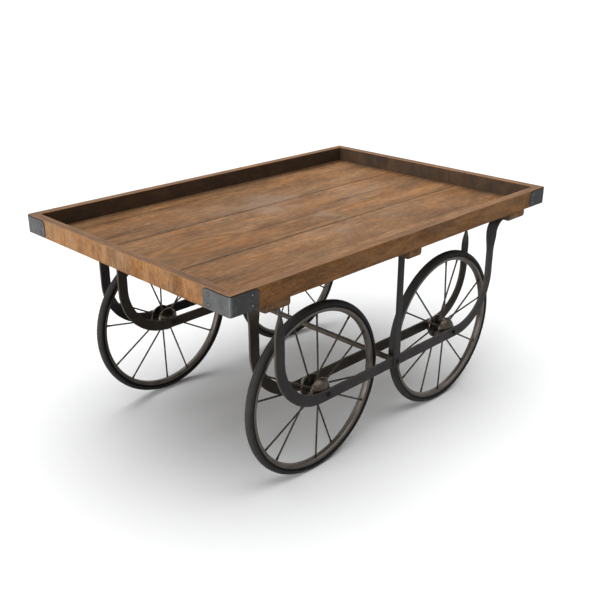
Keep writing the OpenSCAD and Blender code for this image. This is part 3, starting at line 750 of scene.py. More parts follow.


# section of the sheet, with a band of painted shade down from each edge
def sheetOutline(halfThick, halfTall, easing, band):
    outline = []
    band = min(band, 0.6 * halfTall)
    for sa, sb in ((1, 1), (-1, 1), (-1, -1), (1, -1)):
        most = 1.0 if sb > 0 else 0.45  # the painted shade is darkest along the top
        corner = [
            (sa * halfThick, sb * (halfTall - band), 0.0),
            (sa * halfThick, sb * (halfTall - 0.5 * band), 0.55 * most),
            (sa * halfThick, sb * (halfTall - easing), most),
            (sa * (halfThick - 0.3 * easing), sb * (halfTall - 0.3 * easing), most),
            (sa * (halfThick - easing), sb * halfTall, most),
        ]
        outline += corner if sa * sb > 0 else corner[::-1]
    return outline


endNames = {-1: "front", 1: "rear"}
sideNames = {-1: "right", 1: "left"}
corners = [(end, side) for end in (-1, 1) for side in (-1, 1)]


def cornerName(stem, end, side):
    return stem + endNames[end].title() + sideNames[side].title()


def cornerNode(stem, end, side):
    return stem + "_" + endNames[end] + "_" + sideNames[side]


for end, side in corners:
    cornerBracket(cornerName("bracket", end, side), end, side, cornerNode("corner_bracket", end, side))


# small fittings: dull, a little stained in places
fittingLook = {
    "cloud": (60.0, 3.0, 0.6), "cloudEase": (0.4, 0.7), "fine": (420.0, 2.0, 0.6), "stainShare": 0.0,
    "rough": (0.42, 0.4), "shine": 0.12, "bump": (0.0003, 0.3),
}


def fittingFinish(name, dark, light, metal):
    finish, bench = newFinish(name)
    look = {**fittingLook, "dark": dark, "light": light}
    _, cloud, fine, colour = mottle(bench, look)
    closeFinish(bench, look, colour, roughFrom(cloud, look), cloud * 0.5 + fine * 0.5, metal)
    return finish


rivetSteel = fittingFinish("rivetSteel", "#6c6c6c", "#565351", 0.45)
fastenerSteel = fittingFinish("fastenerSteel", "#1d1914", "#14110d", 0.0)

# rivets: a domed head on a short shank at each marked point
rivetLook = {"Head diameter": 0.010, "Head height": 0.0025, "Shank diameter": 0.005, "Shank length": 0.024}


def rivetTree():
    bench = newTree("rivets", rivetLook)
    size = bench.size
    headHalf = size("Head diameter") / 2
    head = bench.add("GeometryNodeMeshUVSphere", {}, {"Segments": 14, "Rings": 8, "Radius": 1.0})
    headScale = bench.vector(headHalf, headHalf, size("Head height"))
    head = bench.add("GeometryNodeTransform", {}, {"Geometry": head, "Scale": headScale})
    shape = joinShapes(bench, head, shankShape(bench))
    return closeTree(bench, onPoints(bench, shape), rivetSteel)


# a shank from the origin downwards
def shankShape(bench):
    size = bench.size
    sockets = {"Vertices": 10, "Radius": size("Shank diameter") / 2, "Depth": size("Shank length")}
    shank = bench.add("GeometryNodeMeshCylinder", {}, sockets)
    return lifted(bench, shank, size("Shank length") * -0.5)


def lifted(bench, shape, height):
    sockets = {"Geometry": shape, "Translation": bench.vector(0.0, 0.0, height)}
    return bench.add("GeometryNodeTransform", {}, sockets)


def joinShapes(bench, *shapes):
    joint = bench.add("GeometryNodeJoinGeometry")
    for shape in shapes:
        bench.tree.links.new(shape.socket, joint.socket.node.inputs[0])
    return joint


spinSeed = 11


# copies of a shape on the start mesh's points, with +Z along each point's "facing" mark
def onPoints(bench, shape, spin=False):
    facing = bench.add("GeometryNodeInputNamedAttribute", {"data_type": "FLOAT_VECTOR"}, {"Name": "facing"})
    turn = bench.add("FunctionNodeAlignRotationToVector", {"axis": "Z"}, {"Vector": facing})
    if spin:
        sockets = {2: 0.0, 3: 2 * halfTurn, "Seed": spinSeed}
        chance = bench.add("FunctionNodeRandomValue", {"data_type": "FLOAT"}, sockets, 1)
        about = bench.add("FunctionNodeEulerToRotation", {}, (bench.vector(0.0, 0.0, chance),))
        turn = bench.add("FunctionNodeRotateRotation", {"rotation_space": "LOCAL"}, (turn, about))
    points = bench.add("GeometryNodeMeshToPoints", {}, {"Mesh": bench.size("Geometry")})
    return copied(bench, shape, points, turn)


def copied(bench, shape, points, turn):
    sockets = {"Points": points, "Instance": shape, "Rotation": turn}
    return bench.add("GeometryNodeInstanceOnPoints", {}, sockets)


# grows fasteners on their places, each a point and the way that its head faces
def fasten(name, grower, sizes, places, node, finish=fastenerSteel, crease=30):
    points, facing = zip(*places)
    mesh = growMesh(name, grower, plainMesh(name + "Points", points, facing=facing), sizes)
    placePiece(name, mesh, finish, "cart", [node], crease)


def rivetSpots():
    halfX, halfY = tray["length"] / 2, tray["width"] / 2
    out, spots = rivetPlaces["out"], []
    for end, side in corners:
        for up in (-0.5, 0.5):
            z = rivetPlaces["middleZ"] + up * rivetPlaces["pitch"]
            spots.append(((end * (halfX - rivetPlaces["sideIn"]), side * (halfY + out), z), (0.0, side, 0.0)))
            spots.append(((end * (halfX + out), side * (halfY - rivetPlaces["endIn"]), z), (end, 0.0, 0.0)))
    return spots


fasten("bracketRivets", rivetTree(), rivetLook, rivetSpots(), "bracket_rivets", rivetSteel, 40)
print("corner brackets riveted on")


# forged flat iron: charcoal scale on the flats, rubbed brown on the narrow edges
ironLook = {
    "cloud": (9.0, 4.0, 0.6), "cloudEase": (0.35, 0.68), "dark": "#424041", "light": "#4d4a4b",
    "fine": (70.0, 4.0, 0.65), "fineEase": (0.52, 0.75), "stainShade": "#3a342e", "stainShare": 0.5,
    "bareShade": "#6a5f4e", "bareShare": 0.4, "rough": (0.52, 0.4), "shine": 0.07, "metal": 0.0,
    "bump": (0.0008, 0.3),
}


def ironFinish(name, look):
    finish, bench = newFinish(name)
    _, cloud, scale, colour = mottle(bench, look)
    shown = bench.mark("narrow") * 0.55 + bench.mark("edge") * 0.6
    worn = bench.ease(shown + (scale - 0.5) * 0.9 + (cloud - 0.5) * 0.8, 0.42, 1.0)
    colour = bench.paint(colour, worn, look, "bare")
    rough = roughFrom(scale, look) - worn * 0.1
    closeFinish(bench, look, colour, rough, scale * 0.7 + cloud * 0.3, look["metal"] + worn * 0.15)
    return finish


strapIron = ironFinish("strapIron", ironLook)
# the inner straps take a browner copy of the iron, painted light standing in for warm bounce light off the
# wood
innerBounceLook = {**ironLook, "dark": "#443f39", "light": "#4f4942", "stainShade": "#3a3129"}
innerBounceIron = ironFinish("innerBounceIron", innerBounceLook)

# straps: one flat bar each, down one leg, along under the axles and up the other,
# with a quarter twist in each leg
strapY = {"outer": 0.5495, "inner": 0.4165}
strapLook = {
    "Low z": 0.3515, "Bend start": 0.433, "Bend radius": 0.220, "Leg length": 0.1835, "Twist start": 0.092,
    "Foot radius": 0.060, "Foot length": 0.050, "Strap y": strapY["outer"], "Twist sense": 1.0,
    "Knock scale": 26.0, "Knock depth": 0.0010, "Stations": 420,
}
barSizes = {"strapWidth": 0.045, "postWidth": 0.032, "thick": 0.010, "easing": 0.0016, "edgeStrip": 0.0012}


def flatProfile(width):
    easing = barSizes["easing"]
    outline = softOutline(barSizes["thick"] / 2, width / 2, easing, barSizes["edgeStrip"], (1, 3))
    points = [(a, b, 0.0) for a, b, _ in outline]
    edges = [(k, (k + 1) % len(points)) for k in range(len(points))]
    edge = [m for _, _, m in outline]
    narrow = [1.0 if abs(b) > width / 2 - easing * 0.9 else 0.0 for _, b, _ in outline]
    return plainMesh("flatProfile", points, edges, edge=edge, narrow=narrow)


# a line to bend, and each station's share of its length
def stationLine(bench):
    line = bench.add("GeometryNodeCurvePrimitiveLine")
    line = bench.add("GeometryNodeResampleCurve", {}, {"Curve": line, "Count": bench.size("Stations")})
    return line, bench.add("GeometryNodeSplineParameter", out="Factor")


# the start mesh's outline swept along the line once that is bent to its place
def sweptBar(bench, line, place, tilt):
    path = bench.add("GeometryNodeSetPosition", {}, {"Geometry": line, "Position": place})
    path = bench.add("GeometryNodeSetCurveTilt", {}, {"Curve": path, "Tilt": tilt})
    profile = bench.add("GeometryNodeMeshToCurve", {}, {"Mesh": bench.size("Geometry")})
    sockets = {"Curve": path, "Profile Curve": profile, "Fill Caps": True}
    return bench.add("GeometryNodeCurveToMesh", {}, sockets)


def strapTree():
    bench = newTree("strap", strapLook)
    size = bench.size
    line, share = stationLine(bench)
    bendArc = size("Bend radius") * quarterTurn
    footArc = size("Foot radius") * quarterTurn
    half = size("Bend start") + bendArc + size("Leg length") + footArc + size("Foot length")
    signed = (share * 2.0 - 1.0) * half
    reach = abs(signed)  # along the bar from its middle
    run = reach.between(0.0, size("Bend start"))
    bend = (reach - size("Bend start")).between(0.0, bendArc) / size("Bend radius")
    leg = (reach - size("Bend start") - bendArc).between(0.0, size("Leg length"))
    afterLeg = reach - size("Bend start") - bendArc - size("Leg length")
    lean = afterLeg.between(0.0, footArc) / size("Foot radius")
    foot = (afterLeg - footArc).calc("MAXIMUM", 0.0)
    out = run + size("Bend radius") * bend.calc("SINE")
    out = out + size("Foot radius") * (1.0 - lean.calc("COSINE")) + foot
    up = size("Bend radius") * (1.0 - bend.calc("COSINE")) + leg + size("Foot radius") * lean.calc("SINE")
    place = bench.vector(out * signed.calc("SIGN"), size("Strap y"), up + size("Low z"))
    twistRun = size("Leg length") - size("Twist start") + footArc
    turn = bench.ease((reach - size("Bend start") - bendArc - size("Twist start")) / twistRun, 0.0, 1.0)
    twist = turn * size("Twist sense") * quarterTurn
    bar = sweptBar(bench, line, place, twist)
    # the smith's hammer leaves the faces a little uneven
    spot = bench.add("GeometryNodeInputPosition")
    knock = bench.grain(spot, size("Knock scale"), 2.0, 0.5)
    normal = bench.add("GeometryNodeInputNormal")
    dent = bench.vectorSum("SCALE", {0: normal, "Scale": (knock - 0.6) * size("Knock depth")})
    bar = bench.add("GeometryNodeSetPosition", {}, {"Geometry": bar, "Offset": dent})
    return closeTree(bench, bar, strapIron)


strapGrower = strapTree()
for row, sense, finish in (("outer", 1, strapIron), ("inner", -1, innerBounceIron)):
    for side in (-1, 1):
        start = flatProfile(barSizes["strapWidth"])
        sizes = {**strapLook, "Strap y": side * strapY[row], "Twist sense": float(sense * side)}
        name = row + "Strap" + sideNames[side].title()
        mesh = growMesh(name, strapGrower, start, sizes)
        placePiece(name, mesh, finish, "cart", [row + "_strap_" + sideNames[side]], 40)
print("straps bent and twisted")

# centre posts: upright flat outside the strap, turned in under the middle bearer
postLook = {
    "Thickness": barSizes["thick"], "Low z": 0.329, "Top z": 0.820, "Post y": 0.5595,
    "Corner radius": 0.0065, "Flange length": 0.062, "Side": 1.0, "Stations": 160,
}
# the posts' narrow faces are painted near black, a painted shade
postIronShadedEdges = ironFinish("postIronShadedEdges", {**ironLook, "bareShade": "#2b2620", "bareShare": 0.75})


def postTree():
    bench = newTree("centrePost", postLook)
    size = bench.size
    line, share = stationLine(bench)
    arc = size("Corner radius") * quarterTurn
    upright = size("Top z") - size("Low z") - size("Thickness") / 2 - size("Corner radius")
    flange = size("Flange length") + size("Thickness") / 2 - size("Corner radius")
    reach = share * (upright + arc + flange)
    bend = (reach - upright).between(0.0, arc) / size("Corner radius")
    up = reach.calc("MINIMUM", upright) + size("Corner radius") * bend.calc("SINE")
    inward = size("Corner radius") * (1.0 - bend.calc("COSINE"))
    inward = inward + (reach - upright - arc).calc("MAXIMUM", 0.0)
    place = bench.vector(0.0, (size("Post y") - inward) * size("Side"), up + size("Low z"))
    return closeTree(bench, sweptBar(bench, line, place, quarterTurn), postIronShadedEdges)


postGrower = postTree()
for side in (-1, 1):
    start = flatProfile(barSizes["postWidth"])
    name = "centrePost" + sideNames[side].title()
    mesh = growMesh(name, postGrower, start, {**postLook, "Side": float(side)})
    placePiece(name, mesh, postIronShadedEdges, "cart", ["centre_post_" + sideNames[side]], 40)
print("posts up")


# a section (radius, along) spun about an axis along Y through the given centre
def turned(section, centre, segments, closed=True):
    points = []
    for k in range(segments):
        a = 2 * halfTurn * k / segments
        x, z = math.cos(a), math.sin(a)
        points += [Vector((centre[0] + r * x, centre[1] + y, centre[2] + r * z)) for r, y in section]
    count = len(section)
    faces = []
    for i in range(segments):
        here, there = i * count, (i + 1) % segments * count
        for k in range(count if closed else count - 1):
            after = (k + 1) % count
            faces.append((here + k, here + after, there + after, there + k))
    return points, faces


# rounds the corners of a section; each corner is (radius, along, rounding)
def softSection(corners, steps=3, strip=0.0008):
    section, marks = [], []
    for k, (r, y, rounding) in enumerate(corners):
        here = Vector((r, y))
        before = Vector(corners[k - 1][:2]) - here
        after = Vector(corners[(k + 1) % len(corners)][:2]) - here
        cut = min(rounding, 0.45 * before.length, 0.45 * after.length)
        if cut < 1e-6:
            section.append(here)
            marks.append(0.0)
            continue
        a, b = here + before.normalized() * cut, here + after.normalized() * cut
        extra = min(strip, 0.2 * before.length), min(strip, 0.2 * after.length)
        section.append(a + before.normalized() * extra[0])
        marks.append(0.3)
        for s in range(steps + 1):
            t = s / steps
            section.append(a * (1 - t) ** 2 + here * 2 * t * (1 - t) + b * t * t)
            marks.append(1.0)
        section.append(b + after.normalized() * extra[1])
        marks.append(0.3)
    return [(p.x, p.y) for p in section], marks


wheels = {"x": 0.405, "y": 0.483, "z": 0.355, "radius": 0.355, "lip": 0.328}


def wheelCentre(end, side):
    return (end * wheels["x"], side * wheels["y"], wheels["z"])


def wheelBody(end, side):
    return cornerNode("wheel", end, side)


# tie rod with turned-down ends
rodLook = {"radius": 0.012, "half": 0.5445, "threadRadius": 0.006, "threadEnd": 0.5765, "nut": 0.5645}
rodSegments = 28


def rodPiece(name, look, centre, node, finish):
    radius, half, thread, tip = look["radius"], look["half"], look["threadRadius"], look["threadEnd"]
    outside = [(thread - 0.001, tip), (thread, tip - 0.001), (thread, half + 0.0005), (thread + 0.0005, half)]
    outside += [(radius - 0.001, half), (radius, half - 0.001), (radius, half - 0.004)]
    outside += [(radius, half * 0.5), (radius, 0.0)]
    section = outside + [(r, -y) for r, y in reversed(outside[:-1])]
    points, faces = turned(section, centre, rodSegments, closed=False)
    count = len(section)
    faces.append(tuple(i * count for i in range(rodSegments)))
    faces.append(tuple(i * count + count - 1 for i in range(rodSegments)))
    newPiece(name, points, faces, finish, "cart", [node], None, 40)


barLook = {
    **ironLook, "dark": "#443e37", "light": "#564f47", "stainShade": "#41372e", "bareShade": "#7a6d5d",
    "metal": 0.5,
}
rodIron = ironFinish("rodIron", barLook)
rodPiece("tieRod", rodLook, (0.0, 0.0, wheels["z"]), "tie_rod", rodIron)

# axles
axleLook = {"radius": 0.010, "half": 0.0615, "threadRadius": 0.006, "threadEnd": 0.0835, "nut": 0.0715}
for end, side in corners:
    name, node = cornerName("axle", end, side), cornerNode("axle", end, side)
    rodPiece(name, axleLook, wheelCentre(end, side), node, fastenerSteel)


# a ring at each end of each axle given, all in one piece
def ringPairs(name, look, centres, finish, body, node):
    allPoints, allFaces = [], []
    for centre in centres:
        for turn in (-1, 1):
            near, far = turn * look["near"], turn * look["far"]
            section, _ = softSection([
                (look["inner"], near, look["innerEase"]), (look["outer"], near, look["outerEase"]),
                (look["outer"], far, look["outerEase"]), (look["inner"], far, look["innerEase"]),
            ], 2, 0.0003)
            points, faces = turned(section, centre, 32)
            first = len(allPoints)
            allPoints += points
            allFaces += [tuple(first + i for i in f) for f in faces]
    newPiece(name, allPoints, allFaces, finish, body, [node], None, 40)


# thrust washers
washerLook = {
    "inner": 0.01005, "outer": 0.018, "near": 0.0585, "far": 0.0615, "innerEase": 0.0003, "outerEase": 0.0006,
}
washerCentres = [wheelCentre(end, side) for end, side in corners]
ringPairs("axleWashers", washerLook, washerCentres, fastenerSteel, "cart", "axle_washers")

# nuts: six-sided with a chamfered top
nutLook = {"Across flats": 0.018, "Height": 0.009, "Straight share": 0.86}


def nutTree():
    bench = newTree("nuts", nutLook)
    size = bench.size
    cornerHalf = size("Across flats") / (2 * math.cos(math.radians(30)))
    straight = size("Height") * size("Straight share")
    low = bench.add("GeometryNodeMeshCylinder", {}, {"Vertices": 6, "Radius": cornerHalf, "Depth": straight})
    low = lifted(bench, low, straight / 2)
    top = bench.add("GeometryNodeMeshCone", {}, {
        "Vertices": 6, "Radius Top": cornerHalf * 0.86, "Radius Bottom": cornerHalf,
        "Depth": size("Height") - straight,
    })
    shape = joinShapes(bench, low, lifted(bench, top, straight))
    shape = bench.add("GeometryNodeMergeByDistance", {}, {"Geometry": shape, "Distance": 0.00001})
    return closeTree(bench, onPoints(bench, shape, True), fastenerSteel)


nutGrower = nutTree()
nutSpots = []
for end, side in corners:
    x, y, z = wheelCentre(end, side)
    nutSpots += [((x, y + turn * axleLook["nut"], z), (0.0, turn, 0.0)) for turn in (-1, 1)]
fasten("axleNuts", nutGrower, nutLook, nutSpots, "axle_nuts")
nutSpots = [((0.0, side * rodLook["nut"], wheels["z"]), (0.0, side, 0.0)) for side in (-1, 1)]
fasten("tieRodNuts", nutGrower, nutLook, nutSpots, "tie_rod_nuts")

# wood screws: a low head with a slot
screwLook = {
    "Head diameter": 0.012, "Head height": 0.004, "Shank diameter": 0.006, "Shank length": 0.030,
    "Slot": 0.0014,
}


def screwTree():
    bench = newTree("woodScrews", screwLook)
    size = bench.size
    head = bench.add("GeometryNodeMeshCone", {}, {
        "Vertices": 16, "Side Segments": 2, "Radius Top": size("Head diameter") * 0.36,
        "Radius Bottom": size("Head diameter") / 2, "Depth": size("Head height"),
    })
    cutSize = bench.vector(size("Head diameter") * 1.2, size("Slot"), size("Head height") * 0.9)
    cut = lifted(bench, bench.add("GeometryNodeMeshCube", {}, {"Size": cutSize}), size("Head height"))
    head = bench.add("GeometryNodeMeshBoolean", {"operation": "DIFFERENCE"}, {"Mesh 1": head, "Mesh 2": cut})
    shape = joinShapes(bench, head, shankShape(bench))
    return closeTree(bench, onPoints(bench, shape, True), fastenerSteel)


downwards = (0.0, 0.0, -1.0)
screwPlaces = {
    "floorRows": (-0.772, 0.027, 0.772), "railX": (-0.727, 0.0, 0.727), "railDx": 0.0175, "railY": 0.60025,
    "footX": 0.738, "footZ": 0.810, "postY": 0.5235,
}
screwGrower = screwTree()
boardRows = [
    (rightSeam - tray["rightBoard"] / 2, tray["rightBoard"]),
    (leftSeam - tray["middleBoard"] / 2, tray["middleBoard"]),
    (bayHalfY - tray["gap"] - leftBoard / 2, leftBoard),
]
floorSpots = []
for middle, width in boardRows:
    for x in screwPlaces["floorRows"]:
        floorSpots += [((x, middle + turn * width / 4, bearerLook["low"]), downwards) for turn in (-1, 1)]
fasten("floorScrews", screwGrower, screwLook, floorSpots, "floor_screws")
railSpots = []
for x in screwPlaces["railX"]:
    for side in (-1, 1):
        y, dx = side * screwPlaces["railY"], screwPlaces["railDx"]
        railSpots += [((x + turn * dx, y, bearerLook["low"]), downwards) for turn in (-1, 1)]
fasten("railScrews", screwGrower, screwLook, railSpots, "rail_screws")

# coach screws under the strap feet and the posts' flanges
coachLook = {**nutLook, "Across flats": 0.017, "Height": 0.007}
footSpots = []
for end, side in corners:
    for away in (strapY["inner"], strapY["outer"]):
        footSpots.append(((end * screwPlaces["footX"], side * away, screwPlaces["footZ"]), downwards))
fasten("strapFootScrews", nutGrower, coachLook, footSpots, "strap_foot_screws")
postSpots = [((0.0, side * screwPlaces["postY"], screwPlaces["footZ"]), downwards) for side in (-1, 1)]
fasten("postScrews", nutGrower, coachLook, postSpots, "post_screws")
print("fittings in")


# distance of a point from the axis of its own wheel
def wheelRadius(bench, place):
    parts = bench.add("ShaderNodeSeparateXYZ", {}, (place,))
    awayX, awayZ = abs(parts) - wheels["x"], parts.also("Z") - wheels["z"]
    return (awayX * awayX + awayZ * awayZ).calc("SQRT")


# tyre rubber: near black with dusty stains, darker between the ribs and black beside the rim, both painted
# shade
rubberLook = {
    "cloud": (11.0, 4.0, 0.6), "cloudEase": (0.35, 0.7), "dark": "#3a3938", "light": "#454342",
    "fine": (180.0, 3.0, 0.6), "fineEase": (0.55, 0.8), "stainShade": "#46433f", "stainShare": 0.3,
    "ribShade": "#0b0a0a", "ribShare": 0.22, "grooveShade": "#050505", "grooveShare": 0.95,
    "grooveShadowFrom": 0.006, "grooveShadowTo": 0.010, "rough": (0.55, 0.3), "shine": 0.07, "bump": (0.0004, 0.25),
}


def rubberFinish(name, look):
    finish, bench = newFinish(name)
    place, cloud, fine, colour = mottle(bench, look)
    # the rings between the raised ribs are darkened, a painted shade in the tread
    colour = bench.paint(colour, 1.0 - bench.mark("rib"), look, "rib")
    # a painted shadow in the gap beside the rim's lip
    low, high = wheels["lip"] + look["grooveShadowFrom"], wheels["lip"] + look["grooveShadowTo"]
    groove = 1.0 - bench.ease(wheelRadius(bench, place), low, high)
    colour = bench.paint(colour, groove, look, "groove")
    closeFinish(bench, look, colour, roughFrom(cloud, look), fine)
    return finish


tyreLook = {
    "Wheel radius": wheels["radius"], "Section radius": 0.017, "Ribs": 300, "Rib depth": 0.0011,
    "Middle x": wheels["x"], "Middle y": wheels["y"], "Middle z": wheels["z"],
}
tyreSection = {
    "lipGap": 0.0002, "beadRadius": 0.3235, "beadHalf": 0.01295, "treadHalfAngle": 1.15, "treadFade": 0.12,
    "points": 30,
}
tyreRubber = rubberFinish("tyreRubber", rubberLook)


# section of the tyre: round outside, with a bead that sits between the rim's lips
def tyreProfile():
    look, radius = tyreSection, tyreLook["Section radius"]
    middle = wheels["radius"] - radius
    lip = wheels["lip"] + look["lipGap"]
    low = math.asin((lip - middle) / radius)
    points, tread = [], []
    for k in range(look["points"] + 1):
        a = low + (halfTurn - 2 * low) * k / look["points"]
        points.append((middle + radius * math.sin(a), radius * math.cos(a)))
        fromEdge = look["treadHalfAngle"] - abs(a - quarterTurn)
        tread.append(max(0.0, min(1.0, fromEdge / look["treadFade"])))
    bead, half = look["beadRadius"], look["beadHalf"]
    points += [(lip, -half), (bead, -half), (bead, half), (lip, half)]
    tread += [0.0] * 4
    edges = [(k, (k + 1) % len(points)) for k in range(len(points))]
    return plainMesh("tyreProfile", [(r - wheels["radius"], y, 0.0) for r, y in points], edges, tread=tread)


def tyreTree():
    bench = newTree("tyre", tyreLook)
    size = bench.size
    circleSockets = {"Resolution": size("Ribs") * 4.0, "Radius": size("Wheel radius")}
    circle = bench.add("GeometryNodeCurvePrimitiveCircle", {}, circleSockets)
    index = bench.add("GeometryNodeInputIndex")
    raised = bench.sum("MODULO", index, 4.0).calc("GREATER_THAN", 1.5)
    settings = {"data_type": "FLOAT", "domain": "POINT"}
    ribSockets = {"Geometry": circle, "Name": "rib", "Value": raised}
    circle = bench.add("GeometryNodeStoreNamedAttribute", settings, ribSockets)
    profile = bench.add("GeometryNodeMeshToCurve", {}, {"Mesh": size("Geometry")})
    skin = bench.add("GeometryNodeCurveToMesh", {}, {"Curve": circle, "Profile Curve": profile})
    rib = bench.add("GeometryNodeInputNamedAttribute", {"data_type": "FLOAT"}, {"Name": "rib"})
    tread = bench.add("GeometryNodeInputNamedAttribute", {"data_type": "FLOAT"}, {"Name": "tread"})
    spot = bench.add("ShaderNodeSeparateXYZ", {}, (bench.add("GeometryNodeInputPosition"),))
    far = (spot * spot + spot.also("Y") * spot.also("Y")).calc("SQRT")
    sink = tread * (1.0 - rib) * size("Rib depth")
    # grooves are cut towards the middle of the round section
    middle = size("Wheel radius") - size("Section radius")
    side = spot.also("Z")
    outwards = far - middle
    length = (outwards * outwards + side * side).calc("SQRT").calc("MAXIMUM", 0.0001)
    newFar = far - outwards / length * sink
    newSide = side - side / length * sink
    flat = bench.vector(spot / far * newFar, newSide, -(spot.also("Y") / far * newFar))
    centre = bench.vector(size("Middle x"), size("Middle y"), size("Middle z"))
    wanted = bench.vectorSum("ADD", (flat, centre))
    skin = bench.add("GeometryNodeSetPosition", {}, {"Geometry": skin, "Position": wanted})
    return closeTree(bench, skin, tyreRubber)


tyreGrower = tyreTree()
for end, side in corners:
    x, y, z = wheelCentre(end, side)
    name, node = cornerName("tyre", end, side), cornerNode("tyre", end, side)
    sizes = {**tyreLook, "Middle x": x, "Middle y": y, "Middle z": z}
    mesh = growMesh(name, tyreGrower, tyreProfile(), sizes)
    placePiece(name, mesh, tyreRubber, wheelBody(end, side), [node], 50)
print("tyres on")


# rim steel: brownish, soft shine, with a painted shadow along the lip, up against the tyre
rimLook = {
    "depth": 0.018, "bottomRadius": 0.0205, "halfWidth": 0.0145, "wall": 0.0015, "roll": 0.0006,
    "segments": 180,
    "cloud": (14.0, 4.0, 0.62), "cloudEase": (0.36, 0.68), "dark": "#57514b", "light": "#68615a",
    "fine": (120.0, 3.0, 0.6), "fineEase": (0.52, 0.78), "stainShade": "#4a3e35", "stainShare": 0.4,
    "wornShade": "#857e78", "wornShare": 0.3, "dirtShade": "#0a0908", "dirtShare": 0.93,
    "lipShadowFrom": 0.002, "lipShadowTo": 0.0005,
    "rough": (0.35, 0.25), "shine": 0.15, "metal": 0.5, "bump": (0.0004, 0.25),
}


def rimFinish(name, look):
    finish, bench = newFinish(name)
    place, cloud, fine, colour = mottle(bench, look)
    worn = bench.ease(bench.mark("edge") + (cloud - 0.5) * 0.6, 0.5, 1.0)
    colour = bench.paint(colour, worn, look, "worn")
    # a painted shadow along the lip, under the tyre's edge
    low, high = wheels["lip"] - look["lipShadowFrom"], wheels["lip"] - look["lipShadowTo"]
    lipShade = bench.ease(wheelRadius(bench, place), low, high)
    colour = bench.paint(colour, lipShade, look, "dirt")
    closeFinish(bench, look, colour, roughFrom(cloud, look), fine * 0.5 + cloud * 0.5, look["metal"])
    return finish


rimSteel = rimFinish("rimSteel", rimLook)


# section of the trough, round towards the hub, with the walls rolled at the lips
def rimSection():
    look, lip = rimLook, wheels["lip"]
    middle = lip - look["depth"] + look["bottomRadius"]
    section, marks = [], []
    for inset, turn in ((0.0, 1), (look["wall"], -1)):
        half = look["halfWidth"] - inset
        radius = look["bottomRadius"] - inset
        wide = math.asin(half / radius)
        angles = [wide * k / 8 for k in range(-8, 9)]
        arc = [(middle - radius * math.cos(a), radius * math.sin(a)) for a in angles]
        corner = arc[-1][0]
        lips = [(corner + (lip - look["roll"] - corner) * t, half) for t in (0.35, 0.8, 1.0)]
        run = [(r, -y) for r, y in reversed(lips)] + arc + lips
        # outside wall from left to right, inside wall back, each rolled over into the other
        section += run[::turn] + [(lip, turn * (look["halfWidth"] - look["wall"] / 2))]
        marks += [1.0, 0.4, 0.0] + [0.0] * len(arc) + [0.0, 0.4, 1.0] + [1.0]
    return section, marks


# hub: two flanges on a barrel, and a rounded cone from each flange
hubLook = {
    "bore": 0.01405, "half": 0.058, "coneEnd": 0.019, "flange": 0.052, "face": 0.0225, "flangeThick": 0.005,
    "barrel": 0.025, "swell": 0.004, "segments": 64,
    "cloud": (26.0, 4.0, 0.62), "cloudEase": (0.36, 0.68), "dark": "#3f3a34", "light": "#524b43",
    "fine": (190.0, 3.0, 0.6), "fineEase": (0.52, 0.78), "stainShade": "#3a2f25", "stainShare": 0.2,
    "rubbedShade": "#b3a389", "coneRubAndGlint": 0.15, "flangeRubAndGlint": 0.36,
    "greaseShade": "#060504", "greaseShare": 0.96, "hollowRough": 0.3,
    "rough": (0.26, 0.2), "shine": 0.1, "metal": 0.8, "bump": (0.0004, 0.10),
}


def hubFinish(name, look):
    finish, bench = newFinish(name)
    place, cloud, fine, colour = mottle(bench, look)
    # the flanges' rims are painted light, partly rubbed wear and partly a painted highlight, the cones' ends
    # less
    onFlange = bench.ease(wheelRadius(bench, place), look["flange"] - 0.012, look["flange"] - 0.006)
    rubbed = look["coneRubAndGlint"] + onFlange * look["flangeRubAndGlint"]
    worn = bench.ease(bench.mark("edge") + (cloud - 0.5) * 0.5, 0.5, 1.0)
    colour = bench.mix(worn * rubbed, colour, tint(look["rubbedShade"]))
    # the hollow between the flanges is painted near black, a painted shade
    y = bench.add("ShaderNodeSeparateXYZ", {}, (place,), "Y")
    hollow = 1.0 - bench.ease(abs(abs(y) - wheels["y"]), look["face"] - 0.001, look["face"] + 0.0005)
    colour = bench.paint(colour, hollow, look, "grease")
    rough = roughFrom(cloud, look) + hollow * look["hollowRough"]
    metal = look["metal"] - hollow * look["metal"]
    closeFinish(bench, look, colour, rough, fine * 0.5 + cloud * 0.5, metal)
    return finish


hubIron = hubFinish("hubIron", hubLook)


def hubSection():
    look = hubLook
    face, out = look["face"], look["face"] + look["flangeThick"]
    foot, tip = Vector((look["flange"] - 0.001, out)), Vector((look["coneEnd"], look["half"]))
    outwards = Vector((tip.y - foot.y, foot.x - tip.x)).normalized() * look["swell"]
    cone = [foot.lerp(tip, k / 8) + outwards * (4 * k / 8 * (1 - k / 8)) for k in range(8)]
    halfSide = [(look["barrel"], face, 0.003), (look["flange"], face, 0.0012), (look["flange"], out, 0.0012)]
    halfSide += [(p.x, p.y, 0.0) for p in cone]
    halfSide += [(tip.x, tip.y, 0.002), (look["bore"], look["half"], 0.0006)]
    mirrored = [(r, -y, s) for r, y, s in reversed(halfSide)]
    return softSection(mirrored + halfSide)


bushBronze = fittingFinish("bushBronze", "#8a6a3c", "#6b4f2c", 0.8)
bushLook = {
    "inner": 0.01005, "outer": 0.014, "near": 0.020, "far": 0.058, "innerEase": 0.0004, "outerEase": 0.0004,
}


def turnedPiece(stem, end, side, shape, segments, finish):
    section, marks = shape
    points, faces = turned(section, wheelCentre(end, side), segments)
    name, node = cornerName(stem, end, side), cornerNode(stem, end, side)
    newPiece(name, points, faces, finish, wheelBody(end, side), [node], marks * segments, 50)


